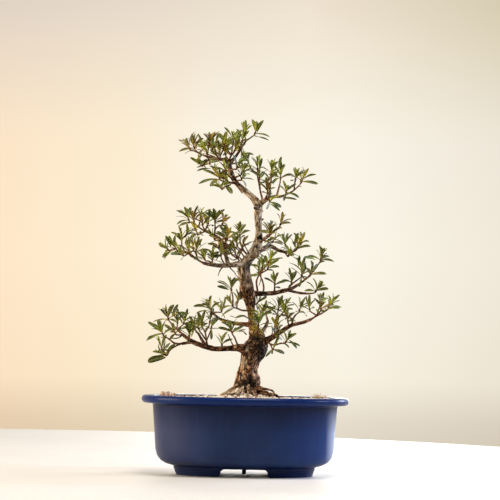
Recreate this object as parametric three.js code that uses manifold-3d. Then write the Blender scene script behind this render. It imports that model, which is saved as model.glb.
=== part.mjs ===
// A satsuki azalea bonsai, built together with its pot: an oval moulded pot, the soil mound, the drainage
// screens with their wire clips, the trunk with its roots and limbs, and the leafy sprays on the limbs.
// Millimetres, +Z up, +X to the right, the front faces -Y. The origin is the centre of the foot's underside.
import * as THREE from 'three';
import { mergeVertices } from 'three/addons/utils/BufferGeometryUtils.js';
import Module from 'manifold-3d';

const wasm = await Module();
wasm.setup();

// Driving dimensions
const POT_LONG_HALF = 124; // half the length over the lip
const POT_SHORT_HALF = 96; // half the width over the lip
const POT_HEIGHT = 94;
const POT_SQUARENESS = 2.25; // exponent of the oval: 2 is an ellipse, more is squarer
const POT_SIDES = 32;
const FLOOR_UNDERSIDE = 11;
const FLOOR_TOP = 16;
const FOOT_GATE = { bottomHalf: 31, topHalf: 26, height: 9.5, corner: 6 };
const PEG = { radius: 2.4, lift: 0.8 };
const DRAIN = { x: 48, radius: 9 };
const SCREEN = { half: 17, thick: 1.4, hole: 5, pitch: 7.5, holes: 2 };
const CLIP = { radius: 0.7, spread: 3.9, foot: 15, rise: 1.6 };
const SOIL_EDGE = 91; // height of the soil at the pot's wall
const SOIL_MOUND = 8; // how much higher it stands at the trunk
const SOIL_SPREAD = 22; // how far from the trunk the mound runs out
const GAP = 0.35; // clearance between pieces that only touch
const LEAF = { width: 4.8, thick: 1.1, arch: 0.1, roll: 32, shortest: 15, longest: 21 };
const TWIG = { main: 1.35, side: 1.05, tip: 0.8 }; // radii at the root of a spray, of a side twig, at a bud
const BUD = { radius: 2.2, below: 2.2, above: 2.6, point: 0.7 }; // the swollen end that leaves grow from
const ROOT = { rise: 3, most: 1 }; // how far up the bud an upright leaf is rooted above a level one
const SPREAD = 26; // least angle between two leaves of one shoot, in degrees
const SEED = 7;

const COLOURS = {
  pot: 0x2a3560, soil: 0xd8cbb2, screen: 0x20221f, clip: 0xb9bcc0, bark: 0x84664a,
  leaf: 0x4d5a2c, young: 0x8f8a38, bronze: 0x9a7134,
};

// --- Solids ------------------------------------------------------------------------------------------------

function solid(geometry) {
  const bare = geometry.clone();
  bare.deleteAttribute('normal');
  bare.deleteAttribute('uv');
  const merged = mergeVertices(bare, 1e-4);
  const made = new wasm.Manifold(new wasm.Mesh({
    numProp: 3,
    vertProperties: new Float32Array(merged.attributes.position.array),
    triVerts: new Uint32Array(merged.index.array),
  }));
  return made;
}

function geometryOf(body) {
  const mesh = body.getMesh();
  const geometry = new THREE.BufferGeometry();
  geometry.setAttribute('position', new THREE.BufferAttribute(new Float32Array(mesh.vertProperties), 3));
  geometry.setIndex(new THREE.BufferAttribute(new Uint32Array(mesh.triVerts), 1));
  return geometry;
}

function join(bodies) {
  return wasm.Manifold.union(bodies);
}

// The largest of the separate bodies that a cut leaves; the rest are scraps.
function largest(body) {
  return body.decompose().reduce((best, piece) => (piece.volume() > best.volume() ? piece : best));
}

const group = new THREE.Group();

function addPiece(name, body, colour, roughness = 0.8, metalness = 0) {
  const material = new THREE.MeshStandardMaterial({ color: colour, roughness, metalness });
  const mesh = new THREE.Mesh(geometryOf(body), material);
  mesh.name = name;
  group.add(mesh);
}

const vec = ([x, y, z]) => new THREE.Vector3(x, y, z);

// A round bar that follows points [x, y, z, radius], as a cylinder bent along a smooth curve. `grow` makes it
// fatter and longer by that much, for cutting the socket that another piece sits in.
function bar(points, sides, grow = 0, steps = 1) {
  const curve = new THREE.CatmullRomCurve3(points.map(vec), false, 'centripetal');
  const spans = points.length - 1;
  const rings = spans * steps;
  const frames = [];
  let across = null;
  for (let i = 0; i <= rings; i++) {
    const along = curve.getTangent(i / rings).normalize();
    across ??= new THREE.Vector3(0.31, -0.87, 0.38).cross(along).normalize();
    across = across.clone().addScaledVector(along, -across.dot(along)).normalize();
    const span = Math.min(Math.floor(i / steps), spans - 1);
    const part = i / steps - span;
    const radius = points[span][3] * (1 - part) + points[span + 1][3] * part + grow;
    const centre = curve.getPoint(i / rings);
    if (i === 0) centre.addScaledVector(along, -grow);
    if (i === rings) centre.addScaledVector(along, grow);
    frames.push({ centre, across, over: across.clone().cross(along), radius });
  }
  const tube = new THREE.CylinderGeometry(1, 1, 1, sides, rings);
  const place = tube.attributes.position;
  for (let i = 0; i < place.count; i++) {
    const frame = frames[Math.round((place.getY(i) + 0.5) * rings)];
    const at = frame.centre.clone()
      .addScaledVector(frame.across, place.getX(i) * frame.radius)
      .addScaledVector(frame.over, place.getZ(i) * frame.radius);
    place.setXYZ(i, at.x, at.y, at.z);
  }
  return solid(tube);
}

// --- Pot ---------------------------------------------------------------------------------------------------

// Half the oval's width where half its length is `long`: rings keep their distance to the lip out at the
// walls and shrink evenly to the centre under the floor.
const EVEN_FROM = 60;
function shortHalf(long) {
  const slim = POT_LONG_HALF - POT_SHORT_HALF;
  return long > EVEN_FROM ? long - slim : (long * (EVEN_FROM - slim)) / EVEN_FROM;
}

const squared = (value) => Math.sign(value) * Math.abs(value) ** (2 / POT_SQUARENESS);

// A round lathe form drawn out into the pot's oval. `outline` holds [half length, height] points.
function ovalLathe(outline, sides, lift = () => 0) {
  const lathe = new THREE.LatheGeometry(outline.map(([r, z]) => new THREE.Vector2(r, z)), sides);
  const place = lathe.attributes.position;
  for (let i = 0; i < place.count; i++) {
    const long = Math.hypot(place.getX(i), place.getZ(i));
    const angle = Math.atan2(place.getZ(i), place.getX(i));
    const x = long < 1e-6 ? 0 : long * squared(Math.cos(angle));
    const y = long < 1e-6 ? 0 : -shortHalf(long) * squared(Math.sin(angle));
    place.setXYZ(i, x, y, place.getY(i) + lift(x, y, place.getY(i)));
  }
  return solid(lathe);
}

const POT_INSIDE = [[107, 89], [103.4, 34], [100.5, 25], [95, 18.6], [86, FLOOR_TOP]];
const POT_OUTLINE = [
  [0, FLOOR_UNDERSIDE], [77, FLOOR_UNDERSIDE], [77, 0], [81.5, 0], [84.9, 10.4], [87.8, 11.8],
  [93, 13.6], [99.5, 17], [104.5, 23], [107.3, 33], [111, 84.4], [119.5, 85.2], [123.4, 87.4],
  [POT_LONG_HALF, 90], [122.4, 92.8], [118, POT_HEIGHT], [110.5, 93.2], ...POT_INSIDE, [0, FLOOR_TOP],
];

function footGate() {
  const { bottomHalf, topHalf, height, corner } = FOOT_GATE;
  const shape = new THREE.Shape();
  shape.moveTo(-bottomHalf, -1);
  shape.lineTo(bottomHalf, -1);
  shape.lineTo(topHalf + 1, height - corner);
  shape.quadraticCurveTo(topHalf, height, topHalf - corner, height);
  shape.lineTo(corner - topHalf, height);
  shape.quadraticCurveTo(-topHalf, height, -topHalf - 1, height - corner);
  const depth = 2 * POT_SHORT_HALF;
  const prism = new THREE.ExtrudeGeometry(shape, { depth, bevelEnabled: false, curveSegments: 3 });
  return solid(prism.rotateX(Math.PI / 2).translate(0, depth / 2, 0));
}

function makePot() {
  const peg = new THREE.CylinderGeometry(PEG.radius, PEG.radius, FLOOR_UNDERSIDE + 1 - PEG.lift, 8);
  peg.rotateX(Math.PI / 2).translate(0, 0, (FLOOR_UNDERSIDE + 1 + PEG.lift) / 2);
  let pot = ovalLathe(POT_OUTLINE, POT_SIDES).subtract(footGate());
  for (const side of [-1, 1]) {
    const drain = new THREE.CylinderGeometry(DRAIN.radius, DRAIN.radius, 20, 12);
    pot = pot.subtract(solid(drain.rotateX(Math.PI / 2).translate(side * DRAIN.x, 0, FLOOR_TOP)));
  }
  return pot.add(solid(peg));
}

// --- Drainage screens and the wire clips that hold them ---------------------------------------------------

const SCREEN_BASE = FLOOR_TOP + GAP;

function makeScreen(side) {
  const { half, thick, hole, pitch, holes } = SCREEN;
  let plate = solid(new THREE.BoxGeometry(2 * half, 2 * half, thick));
  for (let row = 0; row < holes; row++) {
    for (let column = 0; column < holes; column++) {
      const x = (column - (holes - 1) / 2) * pitch;
      const y = (row - (holes - 1) / 2) * pitch;
      plate = plate.subtract(solid(new THREE.BoxGeometry(hole, hole, 2 * thick).translate(x, y, 0)));
    }
  }
  return plate.translate(side * DRAIN.x, 0, SCREEN_BASE + thick / 2);
}

// One length of wire: it lies across the screen, goes down through two of its holes and the drain hole,
// and its ends are bent out flat under the floor.
function makeClip(side) {
  const { radius, spread, foot, rise } = CLIP;
  const top = SCREEN_BASE + SCREEN.thick + GAP + radius;
  const under = FLOOR_UNDERSIDE - GAP - radius;
  const half = (direction) => [
    [direction * (spread - 1.5), top + rise], [direction * spread, top - 0.6],
    [direction * spread, FLOOR_TOP - 2], [direction * (spread + 0.3), under + 1.2],
    [direction * (spread + 2.2), under], [direction * foot, under],
  ].map(([x, z]) => [side * DRAIN.x + x, SCREEN.pitch / 2, z, radius]);
  const middle = [side * DRAIN.x, SCREEN.pitch / 2, top + rise + 0.3, radius];
  return bar([...half(-1).reverse(), middle, ...half(1)], 4);
}

// --- Trunk, roots and limbs --------------------------------------------------------------------------------

// The tree leans back and forth as it climbs, and its limbs reach out in front of and behind the trunk.
const CROWN_FROM = 110; // height above which this starts
const SWAY = { reach: 8, per: 48 };
const DEPTH = 1.3; // how much deeper the limbs lie than the points below say

function inDepth([x, y, z, ...radius]) {
  if (z < CROWN_FROM) return [x, y, z, ...radius];
  return [x, y * DEPTH + SWAY.reach * Math.sin((z - CROWN_FROM) / SWAY.per), z, ...radius];
}

// Points are [x, y, z, radius] along the middle of the wood.
const TRUNK = [
  [1, 1, 62, 9], [1, 1, 80, 13], [1.5, 0, 96, 16.5], [1.5, 0, 104, 16], [2.5, -1, 111, 15],
  [2, -1, 119, 13.4], [3, -1, 129, 10.8], [5, 0, 138, 12], [9, 1, 148, 15], [13, 2, 157, 13.2],
  [12.5, 3, 166, 10], [8.5, 4, 176, 6.4], [6, 4, 188, 4.4], [5, 4, 199, 5], [3.2, 3, 210, 7.2],
  [0, 2, 221, 9], [-1.5, 1, 231, 7.9], [-4, 0, 241, 7.3], [-4.6, 0, 250, 7.4], [0.5, 1, 258, 6.4],
  [6.5, 2, 266, 6.4], [11, 2, 275, 6], [13, 2, 285, 5], [12.5, 1, 295, 3.8], [11.5, 0, 305, 4.3],
  [11.5, 0, 315, 5.2], [11.5, 0, 323, 5.4], [6, 0, 331, 4.3], [0, 1, 336, 3.8], [-8, 1, 343, 3.4],
  [-16, 0, 350, 3.2], [-20, 0, 357, 3], [-23, -1, 366, 3.1], [-25, -1, 374, 3.6], [-25.5, -1, 378, 2.2],
];

const LIMBS = {
  lowLeft: [
    [4, -1, 149, 7.5], [-8, -3, 151.5, 4.8], [-20, -5, 151, 3.4], [-35, -8, 150, 3.3], [-46, -9, 152, 3.2],
    [-56, -8, 154.8, 3], [-63, -6, 157.5, 2.9], [-69, -4, 161, 2.6], [-77, 0, 167, 2.2],
  ],
  lowLeftFront: [[-64, -6, 158, 2.4], [-70, -9, 157, 2], [-77, -13, 155.6, 1.8]],
  lowLeftBack: [[-48, -8, 153, 2.4], [-51, 1, 157, 2], [-55, 10, 163, 1.8], [-58, 18, 168, 1.6]],
  leftOlive: [
    [6, 4, 180, 3.4], [-3, 8, 180.5, 2.6], [-15, 14, 181.5, 2.4], [-25, 18, 184, 2.2], [-34, 20, 187.5, 1.9],
    [-38, 21, 191, 1.7],
  ],
  lowRight: [
    [14, 2, 156, 7], [22, -2, 160.5, 4.4], [28, -6, 163.5, 3.4], [34, -9, 167.5, 3], [40, -12, 171, 2.8],
    [47, -14, 176, 2.6], [54, -15, 180, 2.5], [62, -15, 182, 2.3], [70, -13, 184.5, 2.1],
    [77, -11, 187.5, 1.9],
  ],
  lowBack: [[12, 4, 168, 5], [18, 14, 172, 3], [23, 28, 178, 2.3], [26, 42, 186, 1.7]],
  midRight: [
    [2, 2, 217, 5], [10, 6, 217.5, 3.6], [20, 10, 218, 3], [33, 14, 219, 2.7], [44, 16, 222, 2.5],
    [54, 17, 225, 2.3], [62, 17, 230, 2],
  ],
  midRightBack: [[48, 16, 223, 1.9], [57, 22, 221.3, 1.7], [65, 25, 220, 1.5], [73, 27, 219.5, 1.4]],
  middleBack: [[3, 4, 207, 4.5], [5, 14, 212, 3], [4, 26, 218, 2.3], [0, 38, 226, 1.7]],
  midLeft: [
    [-4, 0, 251, 5.4], [-12, -4, 252, 3.8], [-18, -8, 251, 3.2], [-25, -11, 250, 2.9], [-35, -14, 249.5, 2.6],
    [-45, -16, 250.5, 2.3], [-53, -17, 252, 2],
  ],
  upperLeft: [
    [-23, -10, 250.5, 2.7], [-26, -4, 261, 2.3], [-28, 4, 272, 2.2], [-34, 10, 283, 2], [-44, 14, 288.5, 1.8],
  ],
  midRightHigh: [
    [9, 2, 266, 5], [16, 7, 270.5, 3.2], [22, 11, 274, 2.7], [28, 14, 275, 2.5], [36, 16, 271.2, 2.2],
    [44, 18, 269, 2], [51, 19, 268, 1.8],
  ],
  upperBack: [[12, 3, 279, 4.4], [17, 13, 283, 2.3], [22, 24, 287, 1.7]],
  topRight: [
    [11, 0, 322, 4.5], [18, -2, 328, 2.9], [24, -5, 331, 2.4], [31, -8, 333, 2.2], [38, -10, 333, 1.9],
  ],
  apexLeft: [[-25, -1, 374.5, 2.8], [-31, 3, 377.5, 2.1], [-39, 7, 379, 1.8], [-45, 9, 380.4, 1.6]],
  apexRight: [[-24, -1, 373, 2.8], [-18, -5, 379, 2], [-13, -8, 386, 1.7], [-9, -10, 393, 1.5]],
};

const ROOTS = [
  [[-6, -3, 103, 7], [-16, -5, 98.5, 4.2], [-25, -6, 96, 2.8], [-33, -6, 92, 1.8]],
  [[-4, -6, 102, 6.5], [-11, -15, 98, 4], [-17, -24, 94.5, 2.6], [-21, -31, 90, 1.6]],
  [[5, -7, 102, 6.5], [8, -17, 98, 4.2], [11, -25, 95, 2.8], [13, -33, 90, 1.8]],
  [[8, -3, 102, 7], [18, -7, 99, 4.4], [27, -10, 97, 3], [36, -13, 95.5, 2.2], [43, -15, 92, 1.5]],
  [[8, 4, 102, 6.5], [18, 8, 98, 4], [26, 13, 95, 2.6], [34, 17, 90, 1.6]],
  [[2, 8, 102, 6.5], [4, 18, 98, 4.2], [4, 27, 94.5, 2.8], [2, 36, 89, 1.8]],
  [[-5, 6, 102, 6.5], [-14, 13, 98, 4], [-21, 20, 94.5, 2.6], [-27, 27, 89, 1.6]],
];

const woodBars = (grow) => [
  bar(TRUNK.map(inDepth), 8, grow),
  ...Object.values(LIMBS).map((points) => bar(points.map(inDepth), 5, grow)),
  ...ROOTS.map((points) => bar(points, 5, grow)),
];

const wood = join(woodBars(0));
const woodSocket = join(woodBars(GAP));

// --- Soil --------------------------------------------------------------------------------------------------

const rise = (x, y) => SOIL_MOUND * Math.exp(-(x * x + y * y) / (2 * SOIL_SPREAD ** 2));
const ripple = (x, y) => 0.7 * Math.sin(x * 0.31 + 1) * Math.cos(y * 0.27);
const SOIL_BED = FLOOR_TOP + GAP;

function makeSoil() {
  const walls = POT_INSIDE.slice(1).reverse().map(([long, z]) => [long - GAP * 1.5, z + GAP]);
  const top = [105, 88, 68, 48, 30, 0].map((long) => [long, SOIL_EDGE]);
  const lift = (x, y, z) => (z > SOIL_EDGE - 2 ? rise(x, y) + ripple(x, y) : 0);
  let soil = ovalLathe([[0, SOIL_BED], ...walls, ...top], 24, lift).subtract(woodSocket);
  for (const side of [-1, 1]) {
    const room = SCREEN.half + GAP;
    const tall = SCREEN.thick + CLIP.rise + 2 * CLIP.radius + 5 * GAP;
    const block = new THREE.BoxGeometry(2 * room, 2 * room, 2 * tall);
    soil = soil.subtract(solid(block.translate(side * DRAIN.x, 0, SOIL_BED)));
  }
  return largest(soil);
}

// --- Leafy sprays ------------------------------------------------------------------------------------------

// Each spray is a list of shoots. A shoot has the twig that it ends, whose first point lies on a limb or on
// an earlier twig of the spray, and the [x, z] of its leaf tips as seen from the front, with the width of a
// leaf that is broader than usual. How far a tip lies in front of or behind its shoot follows from the length
// of the leaf.
const SPRAYS = {
  apex_left: [
    { twig: [[-45, 9, 380.4], [-53, 10, 382.5], [-61, 10, 386], [-67, 12, 393]],
      tips: [[-87, 402], [-86, 388.5], [-70, 409], [-62, 411], [-56, 404]] },
    { twig: [[-61, 10, 386], [-59, 17, 390], [-57, 21, 394]], tips: [[-62, 402], [-51, 401]] },
    { twig: [[-52, 10, 382], [-50, 3, 389], [-49, -5, 396]], tips: [[-56, 407], [-49, 411], [-36, 411]] },
    { twig: [[-52, 10, 382], [-49, 16, 379], [-48, 22, 375]], tips: [[-64, 377], [-64, 369]] },
  ],
  apex_knot_left: [
    { twig: [[-36, 5, 378.4], [-35, -4, 382], [-36, -11, 385]], tips: [[-39, 398], [-45, 391]] },
    { twig: [[-35, -4, 382], [-32, -15, 387], [-30, -21, 392]], tips: [[-29, 405], [-38, 402], [-20, 399]] },
  ],
  apex_knot_back: [
    { twig: [[-25, -1, 375], [-22, 8, 384], [-17, 14, 393]],
      tips: [[-31, 414], [-20, 414], [-11, 415], [-5, 402]] },
    { twig: [[-22, 8, 384], [-25, 18, 387], [-27, 27, 391]], tips: [[-38, 402], [-26, 408], [-17, 400]] },
  ],
  apex_right_tip: [
    { twig: [[-9, -10, 393], [-5, -10, 399], [-6, -7, 407]], tips: [[-5.5, 425], [0, 422], [-13, 412]] },
    { twig: [[-5, -10, 399], [1, -14, 403], [6, -18, 408]], tips: [[8, 424], [14, 421], [24, 403.5]] },
  ],
  apex_right_low: [
    { twig: [[-24, -1, 372], [-17, 6, 374], [-11, 11, 378]], tips: [[-2, 382], [5, 386.5], [-10, 391]] },
  ],
  leader_left: [
    { twig: [[-15, 0, 349], [-24, -10, 349], [-35, -20, 352]],
      tips: [[-55, 362], [-54, 348], [-46, 341], [-27, 365], [-22, 343]] },
  ],
  leader_back: [
    { twig: [[-12, 1, 346], [-18, 13, 350], [-26, 24, 354]], tips: [[-41, 360], [-30, 369], [-36, 346]] },
  ],
  leader_right: [
    { twig: [[-19, 0, 355], [-13, -6, 357], [-9, -12, 360]], tips: [[-4, 371], [-13, 373], [4, 362]] },
  ],
  top_centre: [
    { twig: [[13, 0, 322], [16, 8, 331], [14, 12, 340], [12, 13, 350], [10, 12, 360], [10, 10, 368]],
      tips: [[2, 382], [9, 384], [19, 369], [25, 358], [-6, 364]] },
    { twig: [[14, 12, 340], [13, 3, 347], [12, -6, 354]], tips: [[24, 349], [1, 362], [18, 364]] },
  ],
  top_right_front: [
    { twig: [[24, -5, 331], [25, -16, 344], [26, -24, 352], [26, -27, 360]],
      tips: [[21, 375], [27, 376], [33, 372], [17, 366], [36, 363]] },
  ],
  top_right_mid: [
    { twig: [[33, -8.5, 333], [35, 1, 341], [37, 9, 350], [38, 12, 358]],
      tips: [[37.5, 379], [28, 375], [54, 361], [23, 362], [28, 349]] },
  ],
  top_right_tip: [
    { twig: [[38, -10, 333], [46, -11, 336], [54, -11, 341], [63, -10, 352]],
      tips: [[53, 368], [64, 370], [80, 360], [83, 350], [50, 357]] },
    { twig: [[46, -11, 336], [45, -19, 335], [44, -26, 337]], tips: [[60, 331], [41, 325], [35, 346]] },
  ],
  top_right_inner: [
    { twig: [[19, -2.5, 328.5], [21, -10, 333], [22, -15, 337]], tips: [[20, 355], [30, 354], [13, 347]] },
    { twig: [[21, -10, 333], [24, -17, 330], [25, -20, 326]], tips: [[39, 320], [21, 316]] },
  ],
  upper_left_tip: [
    { twig: [[-44, 14, 288.5], [-52, 16, 292], [-60, 17, 297], [-66, 17, 304]],
      tips: [[-85, 314], [-76, 321], [-61, 323], [-53, 315], [-84, 298]] },
    { twig: [[-52, 16, 292], [-51, 23, 297], [-49, 29, 303]], tips: [[-57, 317], [-48, 320], [-37, 310]] },
    { twig: [[-52, 16, 292], [-57, 8, 289], [-61, 0, 288]], tips: [[-66, 303], [-57, 274], [-69, 281]] },
  ],
  upper_left_front: [
    { twig: [[-41, 12.8, 287.2], [-40, 5, 294], [-40, -3, 302]],
      tips: [[-42, 318], [-29, 318], [-24, 311], [-25, 304], [-52, 312]] },
  ],
  upper_left_inner: [
    { twig: [[-28, 3.5, 271.5], [-28, -7, 276], [-25, -15, 281]],
      tips: [[-35, 297], [-27, 300], [-41, 288], [-9, 291], [-8, 283]] },
    { twig: [[-28, -7, 276], [-33, -15, 273], [-34, -22, 271]], tips: [[-45, 262], [-48, 274], [-21, 262]] },
  ],
  trunk_fine_left: [
    { twig: [[3, 1, 262], [-4, 9, 268], [-9, 14, 278], [-10, 15, 288]],
      tips: [[-17, 301], [-3, 302], [-10, 305], [-24, 292], [3, 293]] },
    { twig: [[-4, 9, 268], [-10, 4, 271], [-13, 0, 275]], tips: [[-20, 286], [-8, 288], [-25, 275]] },
  ],
  left_tip: [
    { twig: [[-53, -17, 252], [-60, -17, 256], [-68, -15, 262], [-76, -11, 266], [-86, -8, 269]],
      tips: [[-98, 279], [-95, 285], [-101, 259], [-87, 286], [-104, 270]] },
    { twig: [[-76, -11, 266], [-79, -3, 273], [-80, 3, 281]], tips: [[-93, 290], [-84, 298], [-67, 290]] },
    { twig: [[-60, -17, 256], [-65, -26, 258], [-69, -34, 262]], tips: [[-88, 262], [-70, 281], [-82, 271]] },
    { twig: [[-60, -17, 256], [-61, -9, 261], [-62, -2, 267]], tips: [[-49, 277], [-43, 267], [-58, 284]] },
  ],
  left_limb_front: [
    { twig: [[-42, -15.5, 250.2], [-42, -22, 252], [-42, -27, 256]],
      tips: [[-51, 264], [-35, 266], [-30, 251]] },
  ],
  right_tip: [
    { twig: [[51, 19, 268], [55, 21, 269.5], [59, 24, 273]],
      tips: [[49, 288], [57, 292], [65, 292], [73, 284], [76, 277]] },
    { twig: [[55, 21, 269.5], [50, 14, 272], [45, 8, 277]], tips: [[30, 284], [53, 289], [41, 291]] },
  ],
  right_centre: [
    { twig: [[14, 2, 278], [18, -6, 281], [22, -12, 283], [25, -16, 287]],
      tips: [[16, 300], [26.5, 305], [33, 301], [11, 292], [37, 289]] },
    { twig: [[22, -12, 283], [31, -17, 291], [38, -19, 299]], tips: [[42, 313], [33, 311], [51, 301]] },
  ],
  upper_back: [
    { twig: [[22, 24, 287], [25, 31, 290], [27, 38, 293]],
      tips: [[18, 306], [30, 309], [40, 300], [15, 295]] },
  ],
  mid_right_inner: [
    { twig: [[13, 7.2, 217.6], [12, -2, 223], [11, -12, 232], [14, -18, 240], [17, -21, 247]],
      tips: [[9, 260], [16, 264], [22, 261], [27, 252], [3, 250]] },
    { twig: [[14, -18, 240], [20, -26, 247], [25, -31, 254]], tips: [[35, 267], [42, 258], [14, 263]] },
  ],
  mid_right_back: [
    { twig: [[19, 9.6, 218], [20, 20, 226], [18, 28, 235], [15, 33, 243]],
      tips: [[4, 253], [14, 260], [24, 255], [7, 240]] },
  ],
  mid_right_tip: [
    { twig: [[62, 17, 230], [70, 16, 236], [77, 14, 243], [83, 12, 251], [88, 11, 260]],
      tips: [[104, 257], [99, 265], [92, 274], [83, 273], [72, 264]] },
    { twig: [[70, 16, 236], [74, 7, 239], [76, -2, 242]], tips: [[95, 243], [76, 258], [85, 255]] },
    { twig: [[70, 16, 236], [67, 25, 240], [66, 33, 247]], tips: [[50, 257], [60, 264], [70, 265]] },
  ],
  mid_right_front: [
    { twig: [[52, 16.8, 224.4], [52, 8, 228], [53, 0, 232]], tips: [[48, 243], [59, 246], [41, 233]] },
    { twig: [[52, 8, 228], [59, 0, 234], [65, -6, 240]], tips: [[52, 249], [68, 255], [62, 226]] },
  ],
  mid_right_low: [
    { twig: [[73, 27, 219.5], [79, 29, 220], [84, 30, 223]],
      tips: [[72, 234], [80, 239], [92, 235], [70, 223], [99, 226]] },
  ],
  mid_right_small: [
    { twig: [[33, 14, 219], [33, 6, 224], [33, -2, 229]],
      tips: [[20, 235], [28, 242], [37, 243], [46, 233]] },
  ],
  low_right_tip: [
    { twig: [[77, -11, 187.5], [84, -8, 192], [90, -6, 195], [98, -5, 202]],
      tips: [[111, 218], [103, 220], [95, 217], [114, 203], [112, 211]] },
    { twig: [[84, -8, 192], [87, -16, 196], [88, -23, 200]], tips: [[87, 219], [79, 212], [104, 206]] },
    { twig: [[84, -8, 192], [80, 2, 195], [76, 11, 200]], tips: [[75, 218], [85, 213], [61, 204]] },
  ],
  low_right_thin: [
    { twig: [[54, -15, 180], [55, -24, 187], [58, -31, 192], [62, -35, 197]],
      tips: [[62, 213], [53, 207], [73, 206], [71, 190]] },
    { twig: [[55, -24, 187], [50, -30, 189], [46, -34, 192]], tips: [[41, 204], [51, 205], [33, 192]] },
  ],
  low_right_inner: [
    { twig: [[37, -10.8, 169.2], [37, -20, 172], [36, -28, 176]],
      tips: [[37, 192], [29, 188], [46, 187], [24, 177]] },
  ],
  low_right_tall: [
    { twig: [[34, -9.2, 167.6], [34, 1, 176], [35, 9, 186], [38, 16, 199]],
      tips: [[24, 209], [19, 201], [43, 217], [54, 209], [56, 200]] },
  ],
  low_right_low: [
    { twig: [[24, -3.5, 161.6], [28, -14, 157.5], [34, -22, 156], [41, -27, 158], [47, -30, 160]],
      tips: [[59, 170], [64, 155], [48, 175], [37, 171]] },
    { twig: [[28, -14, 157.5], [30, -20, 154], [32, -25, 151]], tips: [[46, 146], [23, 142]] },
  ],
  trunk_front: [
    { twig: [[12, 2, 168], [13, -13, 171], [14, -21, 175], [14, -26, 179]],
      tips: [[9, 194], [20, 195], [31, 181], [0, 188], [23, 170]] },
  ],
  trunk_back_right: [
    { twig: [[7, 4, 184], [12, 12, 187], [17, 18, 191]], tips: [[12, 206], [23, 207], [31, 196], [5, 200]] },
  ],
  low_left_tip: [
    { twig: [[-77, 0, 167], [-84, 3, 173], [-90, 6, 179], [-95, 8, 186]],
      tips: [[-107, 198], [-98, 204], [-88, 203], [-79, 194], [-113, 181]] },
    { twig: [[-84, 3, 173], [-84, 12, 177], [-84, 19, 181]], tips: [[-84, 199], [-93, 195], [-74, 193]] },
    { twig: [[-84, 3, 173], [-79, -6, 176], [-75, -14, 181]], tips: [[-83, 194], [-71, 198], [-63, 188]] },
  ],
  low_left_out: [
    { twig: [[-77, -13, 155.6], [-85, -22, 156], [-92, -29, 161], [-99, -34, 167]],
      tips: [[-112, 179], [-117, 162], [-95, 184], [-86, 174], [-104, 184]] },
    { twig: [[-77, -13, 155.6], [-85, -18, 152], [-91, -20, 147], [-96, -21, 142]],
      tips: [[-116, 134, 9], [-95, 159], [-84, 155]] },
  ],
  low_left_centre: [
    { twig: [[-66, -5, 159], [-67, -14, 161], [-68, -21, 165]],
      tips: [[-74, 181], [-67, 184], [-59, 178], [-83, 174]] },
  ],
  low_left_inner: [
    { twig: [[-46, -9, 152], [-48, 1, 160], [-50, 8, 170], [-54, 13, 178]],
      tips: [[-68, 189], [-60, 195], [-51, 197], [-71, 181]] },
    { twig: [[-50, 8, 170], [-46, 17, 177], [-45, 23, 183]], tips: [[-52, 197], [-41, 200], [-32, 190]] },
    { twig: [[-48, 1, 160], [-44, -7, 169], [-42, -12, 176]], tips: [[-42, 161], [-33, 188], [-49, 189]] },
  ],
  low_left_back: [
    { twig: [[-58, 18, 168], [-61, 25, 171], [-63, 33, 175]],
      tips: [[-74, 186], [-62, 192], [-52, 184], [-80, 174]] },
  ],
  left_olive: [
    { twig: [[-38, 21, 191], [-41, 21, 194], [-44, 21, 198]],
      tips: [[-55, 212], [-64, 201], [-62, 193], [-33, 207], [-44, 215]] },
    { twig: [[-41, 21, 194], [-36, 30, 195], [-31, 37, 197]], tips: [[-42, 209], [-27, 214], [-17, 203]] },
  ],
  low_left_leaf: [
    { twig: [[-29, -6.8, 150.4], [-29, -13, 152], [-29, -18, 155]], tips: [[-22, 171], [-38, 167]] },
  ],
  trunk_left_low: [
    { twig: [[-7, -3, 152], [-11, -15, 157], [-14, -24, 164], [-17, -30, 170]],
      tips: [[-34, 175], [-23, 186], [-12, 187], [-3, 178], [-30, 182]] },
  ],
  trunk_left: [
    { twig: [[3, 4, 197], [-6, -6, 197], [-12, -12, 199], [-17, -15, 202]],
      tips: [[-33, 197], [-30, 189], [-7, 211]] },
    { twig: [[-17, -15, 202], [-17, -14, 212], [-19, -12, 221]], tips: [[-35, 232], [-24, 238], [-14, 237]] },
  ],
  middle_back: [
    { twig: [[0, 38, 226], [-2, 44, 230], [-4, 50, 235]],
      tips: [[-14, 247], [-2, 253], [9, 243], [-21, 235]] },
  ],
  low_back: [
    { twig: [[26, 42, 186], [25, 48, 190], [24, 54, 195]],
      tips: [[12, 205], [24, 212], [36, 205], [40, 193]] },
  ],
};

// A small repeatable random stream (a 32-bit mixing generator).
function randomStream(seed) {
  let state = seed >>> 0;
  return () => {
    state = (state + 0x6d2b79f5) >>> 0;
    let mixed = Math.imul(state ^ (state >>> 15), state | 1);
    mixed ^= mixed + Math.imul(mixed ^ (mixed >>> 7), mixed | 61);
    return ((mixed ^ (mixed >>> 14)) >>> 0) / 4294967296;
  };
}

// One narrow leaf: a three-sided spindle with its rib below and its two edges raised, arched along its
// length, its root deep in the bud. `hand` says which of its edges is turned up.
const LEAF_RINGS = [
  { along: 1, wide: 0 }, { along: 0.72, wide: 0.86 }, { along: 0.36, wide: 1 }, { along: 0.04, wide: 0 },
];

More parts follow.
